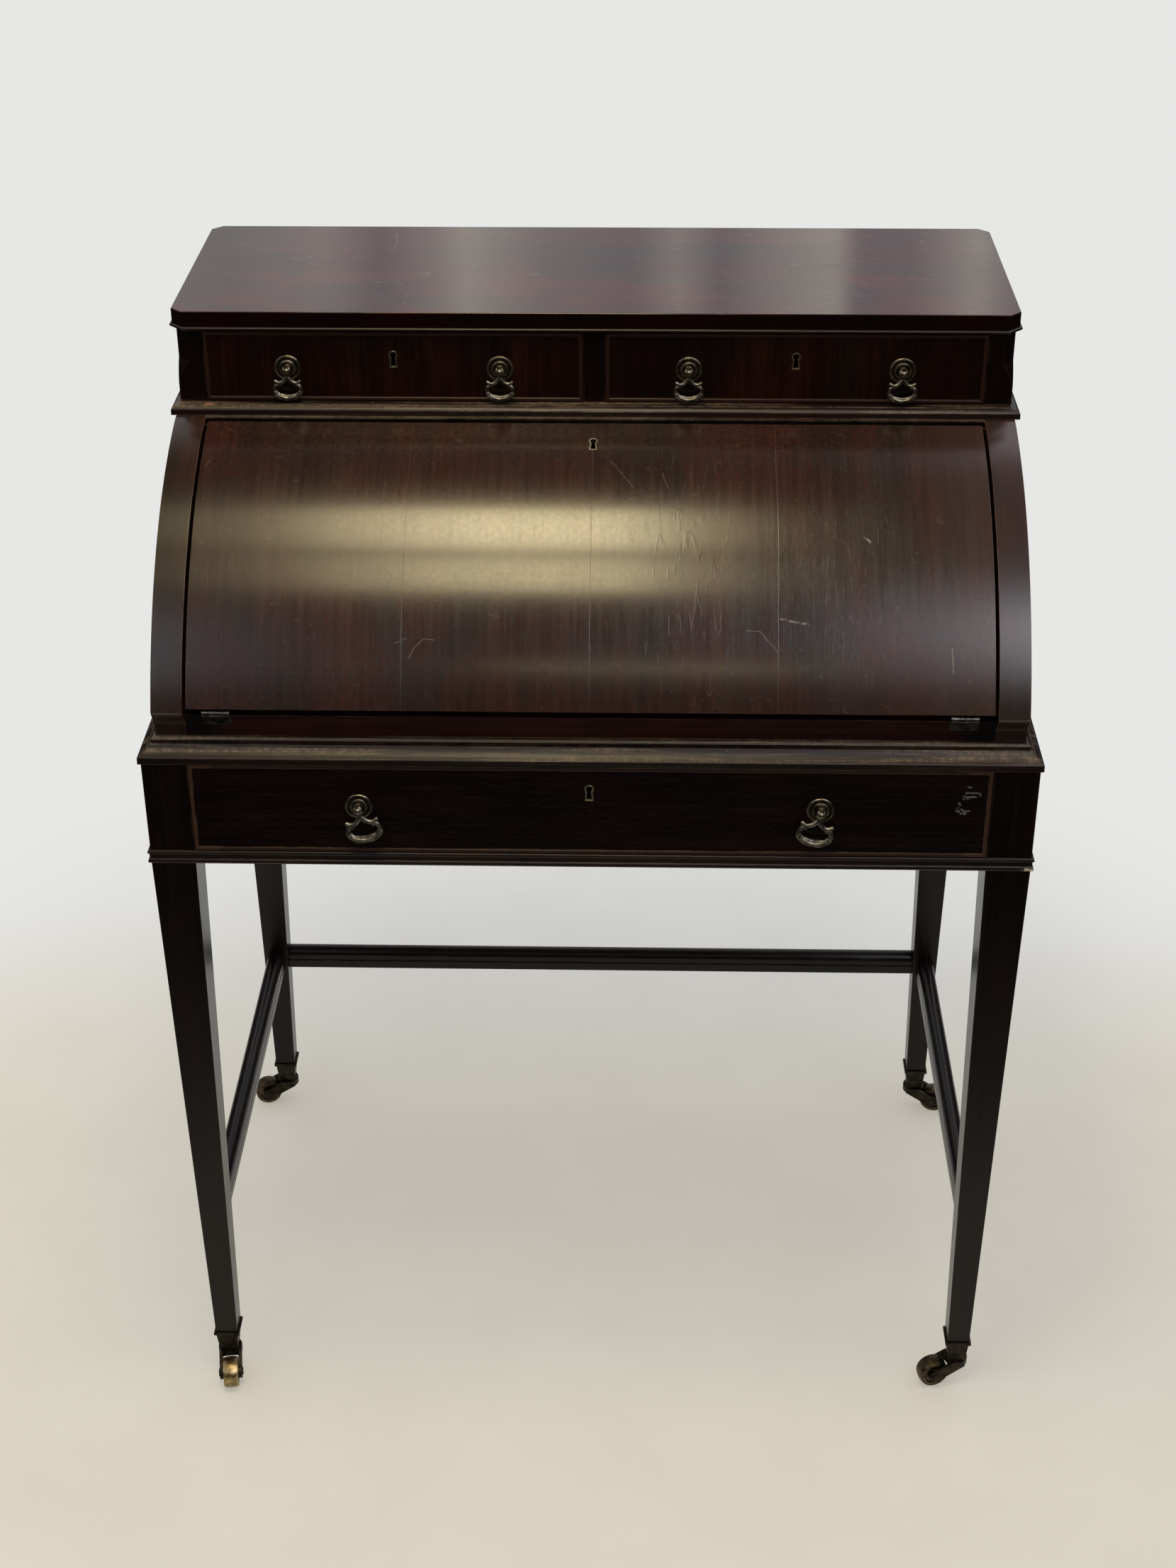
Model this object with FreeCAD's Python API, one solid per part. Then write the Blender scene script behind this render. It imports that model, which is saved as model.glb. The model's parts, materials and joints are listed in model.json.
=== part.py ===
import FreeCAD, Part
import math
import os

# Desk with a curved fall, on castors. Millimetres, +X right, +Y to the back, +Z up.
# The origin is on the floor, midway between the outermost points in X and in Y.

# Main sizes
base_width = 812.0
base_depth = 508.0
table_underside = 753.5
table_thickness = 21.5
cylinder_height = 217.0
waist_thickness = 9.0
case_height = 68.0
sub_top_thickness = 4.5
top_thickness = 14.5
top_back_overhang = 6.0
case_setback = 257.0
cut_overrun = 2.0
seat_gap = 0.3
glue_gap = 0.05
pin_clearance = 0.05

# Legs, castors and stretchers
frieze_setback = 2.5
leg_width = 41.0
leg_foot_width = 22.5
leg_straight = 105.5
rim_height = 59.0
rim_width = 26.5
rim_thickness = 3.0
cup_wall = 1.4
cup_foot_width = 17.5
cup_foot_height = 31.0
cup_floor = 4.0
stem_radius = 4.0
stem_bore_depth = 14.0
stem_shortfall = 1.0
castor_trail = 25.0
wheel_radius = 16.0
wheel_width = 15.0
wheel_crown = 1.2
wheel_dish_depth = 1.5
wheel_dish_radius = 11.0
wheel_boss_radius = 5.5
axle_radius = 2.5
axle_head = 1.0
axle_head_radius = 4.0
fork_gap = 0.7
fork_plate = 3.4
fork_crown_radius = 12.4
fork_crown_height = 7.0
fork_arm_radius = 7.0
fork_well_gap = 1.5
swivel_angles_deg = {"front_left": -82.0, "front_right": -163.0, "back_left": -165.0, "back_right": -15.0}
stretcher_width = 19.0
stretcher_height = 25.0
stretcher_top = 226.0
stretcher_bead = 3.0
stretcher_bead_depth = 0.8

# Table frame and its mouldings
rail_thickness = 20.0
front_rail_depth = 42.0
band_height = 14.0
band_bead = 5.5
band_upper_bead = 4.0
band_bead_depth = 2.0
band_flat_setback = 1.4
lip_height = 7.5
lip_round = 1.2
cove_setback = 10.5
cove_height = 8.2
cove_hollow = 1.1
groove_depth = 2.1
groove_height = 1.4
step_height = 2.4
step_setback = 11.2
step_round = 2.0
runner_width = 16.0
runner_height = 12.0

# Cylinder section: cheeks, bed, fall and waist
cheek_setback = 15.5
cheek_thickness = 28.0
cheek_radius = 345.0
toe_setback = 6.0
toe_height = 28.0
toe_nose = 3.0
toe_undercut = 6.5
foot_setback = 17.0
foot_height = 9.0
crest_reach = 20.0
hinge_rail_setback = 18.0
hinge_rail_height = 20.0
hinge_rail_depth = 20.0
hinge_rise = 3.0
bed_step = 6.0
bed_nose_setback = 9.5
back_thickness = 10.0
fall_recess = 2.0
fall_end_gap = 3.0
fall_top_gap = 4.5
fall_thickness = 14.0
fall_rib = 16.0
fall_board_thickness = 8.0
leather_thickness = 0.8
leather_margin = 32.0
waist_front_overhang = 16.0
waist_side_overhang = 7.0
waist_bead = 1.6
waist_bead_proud = 4.0
waist_lip = 5.0
waist_ovolo = 3.0
waist_ovolo_run = 6.0
waist_fillet_setback = 1.0
waist_rail_setback = 4.0
waist_rail_depth = 20.0
waist_stop_drop = 4.5
waist_rail_drop = 8.0
waist_rail_gap = 1.2
pigeonhole_front = 262.0
pigeonhole_height = 128.0
pigeonhole_count = 6
pigeonhole_board = 6.0
pigeonhole_scoop = 26.0

# Hinges and stays
hinge_length = 25.0
hinge_end_room = 16.0
knuckle_count = 3
knuckle_radius = 3.75
knuckle_gap = 0.2
leaf_thickness = 1.6
leaf_width = 12.0
hinge_pin_radius = 1.5
hinge_pin_clearance = 0.03
stay_length = 126.0
stay_thickness = 2.0
stay_half_width = 5.0
stay_pin_radius = 2.0
stay_pivot_radius = 2.5
stay_pivot_depth = 12.0
stay_side_gap = 1.5
stay_layer_gap = 1.0
stay_open_clearance = 0.3
stay_rise = 10.0
stay_root_angle_deg = 8.0
stay_head_radius = 3.4
stay_head_thickness = 1.0
lug_thickness = 3.0
lug_half_width = 6.0
lug_foot_thickness = 1.5
lug_foot_length = 26.0
lug_foot_width = 14.0

# Upper case
case_end_setback = 2.0
case_end_thickness = 25.0
case_divider = 20.0
corner_chamfer = 11.0
chamfer_run = 22.0
chamfer_foot = 17.0
sub_top_overhang = 5.5
sub_top_bead = 3.2
top_overhang = 3.0
top_clip = 10.5
top_edge_round = 1.0

# Drawers
drawer_gap = 0.7
cockbead_width = 3.4
cockbead_proud = 1.6
cockbead_depth = 8.0
cockbead_round = 1.1
drawer_front_thickness = 19.0
drawer_side = 10.0
drawer_back = 8.0
drawer_bottom = 5.0
drawer_bottom_rise = 6.0
drawer_side_drop = 8.0
long_drawer_back_room = 45.5
small_drawer_back_room = 36.0

# Locks, handles
fall_key_drop = 25.5
drawer_key_drop = 22.4
lock_width = 44.0
lock_height = 38.0
lock_thickness = 8.0
lock_wall = 1.6
bolt_width = 16.0
bolt_thickness = 4.0
bolt_length = 14.0
bolt_gap = 0.3
mortise_gap = 0.6
bolt_travel = 6.0
keyhole_radius = 3.0
keyhole_length = 14.0
keyhole_foot_half = 2.6
keyhole_neck_half = 1.5
escutcheon_wall = 1.1
escutcheon_depth = 3.0
rosette_radius = 12.5
rosette_thickness = 2.6
ball_radius = 5.2
ball_reach = 6.8
post_radius = 2.8
bail_plate = 4.2
bail_slot_gap = 0.3
bail_pin_radius = 1.2
bail_eye_radius = 2.4
small_bail = {"width": 30.0, "drop": 30.0}
large_bail = {"width": 37.0, "drop": 35.0}
small_handle_x = 99.0
small_handle_rise = 31.5
long_handle_x = 209.0
long_handle_rise = 48.0
long_handle_tilt_deg = 12.0

# Outlines in shares of the size that carries them
chamfer_bend_share = 0.33
scoop_bend_share = 0.33
rosette_shares = [(1.0, 0.0), (1.0, 0.35), (0.96, 0.62), (0.86, 0.72), (0.80, 0.45), (0.66, 0.45),
                  (0.62, 0.85), (0.54, 1.0), (0.46, 0.85), (0.42, 0.55), (0.0, 0.55)]
bail_outer_shares = [((0.09, 0.18), None), ((0.455, 0.31), (0.25, 0.345)), ((0.485, 0.375), None),
                     ((0.425, 0.46), None), ((0.455, 0.83), (0.50, 0.65)), ((0.0, 1.0), (0.26, 0.965))]
bail_inner_shares = [((0.0, 0.36), None), ((0.27, 0.47), (0.10, 0.455)), ((0.335, 0.53), None),
                     ((0.30, 0.72), (0.365, 0.64)), ((0.0, 0.775), (0.16, 0.765))]

# Places worked out from the sizes
bed_z = table_underside + table_thickness
waist_z = bed_z + cylinder_height
case_z = waist_z + waist_thickness
sub_top_z = case_z + case_height
top_z = sub_top_z + sub_top_thickness
overall_height = top_z + top_thickness
lip_x = base_width / 2
frieze_x = lip_x - frieze_setback
leg_x = frieze_x - leg_width / 2
castor_overhang = castor_trail + wheel_radius - frieze_setback - leg_width / 2
lip_y = castor_overhang - (castor_overhang + base_depth + top_back_overhang) / 2
back_y = lip_y + base_depth
frieze_y = lip_y + frieze_setback
leg_front_y = frieze_y + leg_width / 2
leg_back_y = back_y - leg_width / 2
frame_z = table_underside - leg_straight
leg_places = {"front_left": (-leg_x, leg_front_y), "front_right": (leg_x, leg_front_y),
              "back_left": (-leg_x, leg_back_y), "back_right": (leg_x, leg_back_y)}
cheek_outer = lip_x - cheek_setback
case_outer = cheek_outer - case_end_setback
inner_x = cheek_outer - cheek_thickness
case_y = lip_y + case_setback
panel_y = back_y - back_thickness
rail_y = lip_y + hinge_rail_setback
rail_z = bed_z + hinge_rail_height
bed_top = rail_z + bed_step
fall_x = inner_x - fall_end_gap
hinge_centre = inner_x - hinge_end_room - hinge_length / 2


def vec(x, y, z):
    return FreeCAD.Vector(x, y, z)


def box(x0, x1, y0, y1, z0, z1):
    return Part.makeBox(x1 - x0, y1 - y0, z1 - z0, vec(x0, y0, z0))


def rod(start, axis, radius, length):
    return Part.makeCylinder(radius, length, start, axis)


def on_yz(u, v):
    return vec(0, u, v)


def on_xz(u, v):
    return vec(u, 0, v)


def on_xy(u, v):
    return vec(u, v, 0)


def outline_face(points, place):
    """Face of an outline: each entry is a corner, or (a point passed, a corner) for an arc."""
    edges = []
    start = points[0]
    for entry in points[1:] + [points[0]]:
        through, corner = entry if isinstance(entry[0], tuple) else (None, entry)
        if math.dist(start, corner) < glue_gap:
            continue
        if through is None:
            edges.append(Part.LineSegment(place(*start), place(*corner)).toShape())
        else:
            edges.append(Part.Arc(place(*start), place(*through), place(*corner)).toShape())
        start = corner
    return Part.Face(Part.Wire(edges))


def prism_x(points, x0, x1):
    solid = outline_face(points, on_yz).extrude(vec(x1 - x0, 0, 0))
    solid.translate(vec(x0, 0, 0))
    return solid


def prism_y(points, y0, y1):
    solid = outline_face(points, on_xz).extrude(vec(0, y1 - y0, 0))
    solid.translate(vec(0, y0, 0))
    return solid


def mirrored(shape):
    return shape.mirror(vec(0, 0, 0), vec(1, 0, 0))


def both_sides(shape):
    return [shape, mirrored(shape)]


def fused(shapes):
    return shapes[0].fuse(shapes[1:]).removeSplitter()


def arc_middle(p, q, centre):
    """Point halfway along the arc from p to q about a centre."""
    radius = math.dist(p, centre)
    middle = ((p[0] + q[0]) / 2 - centre[0], (p[1] + q[1]) / 2 - centre[1])
    reach = math.hypot(*middle)
    return (centre[0] + middle[0] * radius / reach, centre[1] + middle[1] * radius / reach)


def bowed_middle(p, q, bow):
    """Middle of an arc from p to q that stands a bow away from its chord, to the right of the way it runs."""
    length = math.dist(p, q)
    across = ((q[1] - p[1]) / length, (p[0] - q[0]) / length)
    return ((p[0] + q[0]) / 2 + bow * across[0], (p[1] + q[1]) / 2 + bow * across[1])


def edge_prism(angle_deg, reach, profile, extent):
    """Half space with a moulded edge: profile holds (setback, z) entries from the bottom up."""
    def shifted(point):
        return (reach - point[0], point[1])
    points = []
    for entry in profile:
        arc = isinstance(entry[0], tuple)
        points.append((shifted(entry[0]), shifted(entry[1])) if arc else shifted(entry))
    low = (-extent, profile[0][1])
    last = profile[-1][1] if isinstance(profile[-1][0], tuple) else profile[-1]
    points = [low] + points + [(-extent, last[1])]
    solid = outline_face(points, on_xz).extrude(vec(0, 2 * extent, 0))
    solid.translate(vec(0, -extent, 0))
    solid.rotate(vec(0, 0, 0), vec(0, 0, 1), angle_deg)
    return solid


def moulded_board(half_x, front, back, profile, clip=0.0):
    """Board with its moulding worked on the front and the two sides, plain at the back."""
    extent = 2 * half_x
    board = edge_prism(0, half_x, profile, extent)
    for angle, reach in ((180, half_x), (-90, -front)):
        board = board.common(edge_prism(angle, reach, profile, extent))
    if clip:
        reach = (half_x - front - clip) / math.sqrt(2)
        for angle in (-45, -135):
            board = board.common(edge_prism(angle, reach, profile, extent))
    return board.common(box(-extent, extent, -extent, back, 0, 2 * overall_height))


def tapered_block(x, y, z0, width0, z1, width1):
    """Square block about a vertical line, from one width to another."""
    def square(z, width):
        h = width / 2
        corners = [vec(x - h, y - h, z), vec(x + h, y - h, z), vec(x + h, y + h, z), vec(x - h, y + h, z)]
        return Part.makePolygon(corners + corners[:1])
    return Part.makeLoft([square(z0, width0), square(z1, width1)], True, True)


# Fall geometry: the cheek's arc, the hinge line and the flat inner face
toe = (lip_y + toe_setback, bed_z + toe_height)
crest = (case_y - crest_reach, waist_z)


def arc_centre(p, q, radius):
    """Centre, behind and below the chord, of the arc through two points."""
    half = math.dist(p, q) / 2
    drop = math.sqrt(radius ** 2 - half ** 2)
    along = ((q[0] - p[0]) / (2 * half), (q[1] - p[1]) / (2 * half))
    return ((p[0] + q[0]) / 2 + drop * along[1], (p[1] + q[1]) / 2 - drop * along[0])


centre = arc_centre(toe, crest, cheek_radius)


def polar(radius, angle):
    return (centre[0] - radius * math.cos(angle), centre[1] + radius * math.sin(angle))


def polar_angle(point):
    return math.atan2(point[1] - centre[1], centre[0] - point[0])


hinge = (rail_y + leaf_thickness - knuckle_radius, rail_z + hinge_rise)
fall_outer = cheek_radius - fall_recess
fall_inner = fall_outer - fall_thickness
fall_low = polar_angle(hinge) + math.asin((knuckle_radius + seat_gap) / math.dist(hinge, centre))
fall_high = polar_angle(crest) - fall_top_gap / cheek_radius
board_low = polar(fall_inner, fall_low)
board_high = polar(fall_inner, fall_high)
board_slope = math.atan2(board_high[1] - board_low[1], board_high[0] - board_low[0])
board_length = math.dist(board_low, board_high)


def on_board(along, inward):
    """Point on the fall's flat inner face, so far up the slope and so far into the desk."""
    return (board_low[0] + along * math.cos(board_slope) + inward * math.sin(board_slope),
            board_low[1] + along * math.sin(board_slope) - inward * math.cos(board_slope))


# The stay: two equal links, so that with the hinge line they form a rhombus at every angle of the fall
hinge_inward = ((hinge[0] - board_low[0]) * math.sin(board_slope)
                - (hinge[1] - board_low[1]) * math.cos(board_slope))
hinge_along = ((hinge[0] - board_low[0]) * math.cos(board_slope)
               + (hinge[1] - board_low[1]) * math.sin(board_slope))
lug_along = hinge_along + math.sqrt(stay_length ** 2 - (stay_rise - hinge_inward) ** 2)
stay_lug = on_board(lug_along, stay_rise)
stay_root = (hinge[0] + stay_length * math.cos(math.radians(stay_root_angle_deg)),
             hinge[1] + stay_length * math.sin(math.radians(stay_root_angle_deg)))
stay_elbow = (stay_lug[0] + stay_root[0] - hinge[0], stay_lug[1] + stay_root[1] - hinge[1])
arm_x = inner_x - stay_side_gap - stay_thickness
link_x = arm_x - stay_layer_gap - stay_thickness


def board_prism(along0, along1, inward0, inward1, x0, x1):
    """Block square to the fall's flat inner face."""
    return prism_x([on_board(along0, inward0), on_board(along1, inward0), on_board(along1, inward1),
                    on_board(along0, inward1)], x0, x1)


def make_leg(x, y):
    straight = box(x - leg_width / 2, x + leg_width / 2, y - leg_width / 2, y + leg_width / 2,
                   frame_z, table_underside)
    taper = tapered_block(x, y, rim_height, leg_foot_width, frame_z, leg_width)
    tip_z = cup_foot_height + cup_floor
    tip = tapered_block(x, y, tip_z, cup_inner_width(tip_z) - 2 * glue_gap,
                        rim_height, cup_inner_width(rim_height) - 2 * glue_gap)
    bore = rod(vec(x, y, tip_z - cut_overrun), vec(0, 0, 1), stem_radius + pin_clearance,
               stem_bore_depth + cut_overrun)
    return fused([straight, taper, tip]).cut(bore)


def cup_inner_width(z):
    """Clear width of the castor's cup at a height, following its taper."""
    share = (z - cup_foot_height) / (rim_height - cup_foot_height)
    top_width = rim_width - 2 * rim_thickness
    return cup_foot_width - 2 * cup_wall + share * (top_width - cup_foot_width + 2 * cup_wall)


def make_cup(x, y):
    rim = box(x - rim_width / 2, x + rim_width / 2, y - rim_width / 2, y + rim_width / 2,
              rim_height - rim_thickness, rim_height)
    body_top = cup_inner_width(rim_height) + 2 * cup_wall
    body = tapered_block(x, y, cup_foot_height, cup_foot_width, rim_height, body_top)
    floor_z = cup_foot_height + cup_floor
    hollow = tapered_block(x, y, floor_z, cup_inner_width(floor_z), rim_height, cup_inner_width(rim_height))
    bore = rod(vec(x, y, cup_foot_height - cut_overrun), vec(0, 0, 1), stem_radius + pin_clearance,
               cup_floor + 2 * cut_overrun)
    return fused([rim, body]).cut(hollow).cut(bore)


def turned(shape, name):
    """Swing a castor piece, modelled trailing along +X at the origin, to its place."""
    x, y = leg_places[name]
    shape.rotate(vec(0, 0, 0), vec(0, 0, 1), swivel_angles_deg[name])
    shape.translate(vec(x, y, 0))
    return shape


def make_fork(name):
    crown_top = cup_foot_height - seat_gap
    crown_low = crown_top - fork_crown_height
    crown = rod(vec(0, 0, crown_low), vec(0, 0, 1), fork_crown_radius, fork_crown_height)
    stem = rod(vec(0, 0, crown_low), vec(0, 0, 1), stem_radius,
               fork_crown_height + seat_gap + cup_floor + stem_bore_depth - stem_shortfall)
    inside = wheel_width / 2 + fork_gap
    slant = fork_arm_radius / math.sqrt(2)
    arm = prism_y([(0, crown_top), (fork_arm_radius, crown_top), (castor_trail + slant, wheel_radius + slant),
                   (castor_trail - slant, wheel_radius - slant), (-fork_arm_radius, crown_low)],
                  inside, inside + fork_plate)
    end = rod(vec(castor_trail, inside, wheel_radius), vec(0, 1, 0), fork_arm_radius, fork_plate)
    arm = fused([arm, end])
    arms = [arm, arm.mirror(vec(0, 0, 0), vec(0, 1, 0))]
    well = rod(vec(castor_trail, -inside, wheel_radius), vec(0, 1, 0), wheel_radius + fork_well_gap,
               2 * inside)
    span = 2 * (inside + fork_plate + axle_head)
    axle = rod(vec(castor_trail, -span / 2, wheel_radius), vec(0, 1, 0), axle_radius, span)
    heads = [rod(vec(castor_trail, side, wheel_radius), vec(0, 1, 0), axle_head_radius, axle_head)
             for side in (-span / 2, span / 2 - axle_head)]
    return turned(fused([fused([crown] + arms).cut(well), stem, axle] + heads), name)


def make_wheel(name):
    half = wheel_width / 2
    bore = axle_radius + pin_clearance
    edge = wheel_radius - wheel_crown
    profile = [(bore, -half), (wheel_boss_radius, -half), (wheel_boss_radius, wheel_dish_depth - half),
               (wheel_dish_radius, wheel_dish_depth - half), (wheel_dish_radius, -half), (edge, -half),
               ((wheel_radius, 0), (edge, half)), (wheel_dish_radius, half),
               (wheel_dish_radius, half - wheel_dish_depth), (wheel_boss_radius, half - wheel_dish_depth),
               (wheel_boss_radius, half), (bore, half)]
    wheel = outline_face(profile, on_xy).revolve(vec(0, 0, 0), vec(0, 1, 0), 360)
    wheel.translate(vec(castor_trail, 0, wheel_radius))
    return turned(wheel, name)


def make_stretchers(legs):
    """Round-topped bars with a scratched bead, cut to the slope of the legs they meet."""
    h = stretcher_width / 2
    low = stretcher_top - stretcher_height
    shoulder = stretcher_top - h
    bead = shoulder - stretcher_bead
    groove = h - stretcher_bead_depth
    scratch = bead - stretcher_bead / 2
    under = bead - stretcher_bead
    section = [(-h, low), (h, low), (h, under), (groove, scratch), (h, bead), (h, shoulder),
               ((0, stretcher_top), (-h, shoulder)), (-h, bead), (-groove, scratch), (-h, under)]
    bars = []
    for x in (-leg_x, leg_x):
        bar = prism_y(section, leg_front_y, leg_back_y)
        bar.translate(vec(x, 0, 0))
        bars.append(bar)
    cross = prism_x(section, -leg_x, leg_x)
    cross.translate(vec(0, leg_back_y, 0))
    bars.append(cross)
    cut_bars = []
    for bar in bars:
        for leg in legs:
            bar = bar.cut(leg)
        cut_bars += [solid for solid in bar.Solids if solid.BoundBox.DiagonalLength > leg_x]
    return cut_bars


def make_base_rails():
    side = box(frieze_x - rail_thickness, frieze_x, frieze_y + leg_width, back_y - leg_width,
               frame_z, table_underside)
    back = box(leg_width - frieze_x, frieze_x - leg_width, back_y - rail_thickness, back_y,
               frame_z, table_underside)
    front = box(leg_width - frieze_x, frieze_x - leg_width, frieze_y, frieze_y + front_rail_depth,
                frame_z, frame_z + band_height)
    return both_sides(side) + [back, front]


def make_band():
    """Double bead round the foot of the frame, on the front and the two sides."""
    bead = frame_z + band_bead
    upper = frame_z + band_height - band_upper_bead
    top = frame_z + band_height
    profile = [(band_bead_depth, frame_z), ((0, frame_z + band_bead / 2), (band_bead_depth, bead)),
               (band_flat_setback, bead), (band_flat_setback, upper), (band_bead_depth, upper),
               ((0, upper + band_upper_bead / 2), (band_bead_depth, top))]
    board = moulded_board(lip_x, lip_y, back_y, profile)
    return board.cut(box(-frieze_x, frieze_x, frieze_y, back_y + cut_overrun,
                         frame_z - cut_overrun, top + cut_overrun))


def make_runners():
    """Ledges on the side rails that carry the long drawer."""
    inside = frieze_x - rail_thickness
    top = long_drawer_low - seat_gap
    ledge = box(long_drawer_half - runner_width, inside, frieze_y + front_rail_depth, back_y - rail_thickness,
                top - runner_height, top)
    half = leg_width / 2
    for y in (leg_front_y, leg_back_y):
        ledge = ledge.cut(box(leg_x - half, leg_x + half, y - half, y + half, frame_z, table_underside))
    return both_sides(ledge)


def make_table_top():
    lip_top = table_underside + lip_height
    cove_top = lip_top + cove_height
    groove = cove_setback + groove_depth
    cove_start = (lip_round, lip_top)
    cove_end = (cove_setback, cove_top)
    step = cove_top + groove_height
    step_top = step + step_height
    profile = [(0, table_underside), (0, lip_top - lip_round), cove_start,
               (bowed_middle(cove_start, cove_end, cove_hollow), cove_end),
               (groove, cove_top), (groove, step), (step_setback, step), (step_setback, step_top),
               (step_setback + step_round, bed_z)]
    board = moulded_board(lip_x, lip_y, back_y, profile)
    return board.cut(bolt_pocket(0, long_front_y, table_underside))


def make_cheek():
    foot_y = lip_y + foot_setback
    under = (toe[0] + toe_undercut, toe[1] - toe_undercut - toe_nose)
    nose = (toe[0] + toe_nose / 2, toe[1] - toe_nose)
    cove_start = (foot_y, bed_z + foot_height)
    middle = ((cove_start[0] + under[0]) / 2 + toe_nose / 2, (cove_start[1] + under[1]) / 2)
    arc_mid = polar(cheek_radius, (polar_angle(toe) + polar_angle(crest)) / 2)
    outline = [(foot_y, bed_z), cove_start, (middle, under), nose, toe, (arc_mid, crest),
               (back_y, waist_z), (back_y, bed_z)]
    cheek = prism_x(outline, inner_x, cheek_outer)
    pivot = rod(vec(inner_x - cut_overrun, stay_root[0], stay_root[1]), vec(1, 0, 0),
                stay_pivot_radius + pin_clearance, stay_pivot_depth + cut_overrun)
    return cheek.cut(pivot)


def make_hinge_rail():
    rail = box(-inner_x, inner_x, rail_y, rail_y + hinge_rail_depth, bed_z, rail_z)
    for x in (-hinge_centre, hinge_centre):
        rail = rail.cut(box(x - hinge_length / 2, x + hinge_length / 2, rail_y - cut_overrun,
                            rail_y + leaf_thickness, hinge[1] - leaf_width, rail_z + cut_overrun))
    return rail


def make_bed():
    nose_y = rail_y + bed_nose_setback
    slab = box(-inner_x, inner_x, rail_y + hinge_rail_depth, panel_y, bed_z, bed_top)
    nose = box(-inner_x, inner_x, nose_y, panel_y, rail_z, bed_top)
    return fused([slab, nose])


def make_pigeonholes():
    """A shelf on shaped partitions, standing on the bed behind the stays."""
    front = lip_y + pigeonhole_front
    shelf_z = bed_top + pigeonhole_height
    shelf = box(-inner_x, inner_x, front, panel_y, shelf_z, shelf_z + pigeonhole_board)
    bend = (front + pigeonhole_scoop * scoop_bend_share, bed_top + pigeonhole_height / 2)
    outline = [(front, bed_top), (bend, (front + pigeonhole_scoop, shelf_z)), (panel_y, shelf_z),
               (panel_y, bed_top)]
    pitch = (2 * inner_x - pigeonhole_board) / pigeonhole_count
    parts = [shelf]
    for i in range(pigeonhole_count + 1):
        x = -inner_x + i * pitch
        parts.append(prism_x(outline, x, x + pigeonhole_board))
    return parts


def make_waist():
    """Moulded board over the fall, and the rail below it: a thin bead, a rebate and the stop for the fall."""
    lip_top = waist_z + waist_lip
    ovolo_top = lip_top + waist_ovolo
    ovolo_start = (0, lip_top)
    ovolo_end = (waist_ovolo_run, ovolo_top)
    bend = arc_middle(ovolo_start, ovolo_end, (waist_ovolo_run, lip_top - waist_ovolo))
    fillet = waist_ovolo_run + waist_fillet_setback
    profile = [(0, waist_z), ovolo_start, (bend, ovolo_end), (fillet, ovolo_top), (fillet, case_z)]
    front = case_y - waist_front_overhang
    board = moulded_board(case_outer + waist_side_overhang, front, panel_y, profile)
    stop = fall_high + waist_rail_gap / fall_outer
    nose_y = front - waist_bead_proud
    face_y = front + waist_rail_setback
    bead_z = waist_z - waist_bead
    ledge = polar(fall_outer - waist_stop_drop, stop)
    low = polar(fall_inner - waist_rail_drop, stop)
    rail_back = low[0] + waist_rail_depth
    rail = prism_x([(nose_y, waist_z), (nose_y, bead_z), (face_y, bead_z), (face_y, ledge[1]), ledge, low,
                    (rail_back, low[1]), (rail_back, waist_z)], -inner_x, inner_x)
    rail = rail.cut(fall_bolt_pocket())
    return [board, rail]


def make_uprights():
    """The case's two ends, with stopped chamfers on their front corners, and the middle divider."""
    end = box(case_outer - case_end_thickness, case_outer, case_y, back_y, case_z, sub_top_z)
    depth = corner_chamfer / math.sqrt(2)
    stop_z = case_z + chamfer_foot
    run_z = stop_z + chamfer_run
    bend = (-depth * chamfer_bend_share, (stop_z + run_z) / 2)
    tool = [(0, stop_z), (bend, (-depth, run_z)), (-depth, sub_top_z + cut_overrun),
            (depth, sub_top_z + cut_overrun), (depth, stop_z)]
    cutter = prism_y(tool, -corner_chamfer, corner_chamfer)
    cutter.rotate(vec(0, 0, 0), vec(0, 0, 1), -45)
    cutter.translate(vec(case_outer, case_y, 0))
    divider = box(-case_divider / 2, case_divider / 2, case_y, panel_y, case_z, sub_top_z)
    return both_sides(end.cut(cutter)) + [divider]


def make_sub_top():
    """Thin board with a beaded edge between the case and the top."""
    cove = sub_top_overhang - sub_top_bead / 2
    bead_z = sub_top_z + sub_top_thickness - sub_top_bead
    cove_start = (cove, sub_top_z)
    cove_end = (sub_top_bead / 2, bead_z)
    profile = [cove_start, cove_end,
               ((0, bead_z + sub_top_bead / 2), (sub_top_bead / 2, top_z))]
    board = moulded_board(case_outer + sub_top_overhang, case_y - sub_top_overhang, back_y, profile,
                          top_clip + sub_top_overhang - top_overhang)
    for x in (-small_drawer_x, small_drawer_x):
        board = board.cut(bolt_pocket(x, case_y, sub_top_z))
    return board


def make_top_board():
    half = case_outer + top_overhang
    front = case_y - top_overhang
    back = back_y + top_back_overhang
    corners = [(-half, front + top_clip), (top_clip - half, front), (half - top_clip, front),
               (half, front + top_clip), (half, back - top_clip), (half - top_clip, back),
               (top_clip - half, back), (-half, back - top_clip)]
    board = outline_face(corners, on_xy).extrude(vec(0, 0, top_thickness))
    board.translate(vec(0, 0, top_z))
    rim = [edge for edge in board.Edges if abs(edge.BoundBox.ZMin - overall_height) < glue_gap]
    return board.makeFillet(top_edge_round, rim)


def knuckle_rod(x, third, radius, gap):
    """One third of a hinge's barrel, shortened by a gap."""
    length = hinge_length / knuckle_count
    start = x - hinge_length / 2 + third * length
    return rod(vec(start + gap / 2, *hinge), vec(1, 0, 0), radius, length - gap)


def hinge_bore(x):
    return rod(vec(x - hinge_length / 2 - cut_overrun, *hinge), vec(1, 0, 0),
               hinge_pin_radius + hinge_pin_clearance, hinge_length + 2 * cut_overrun)


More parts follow.
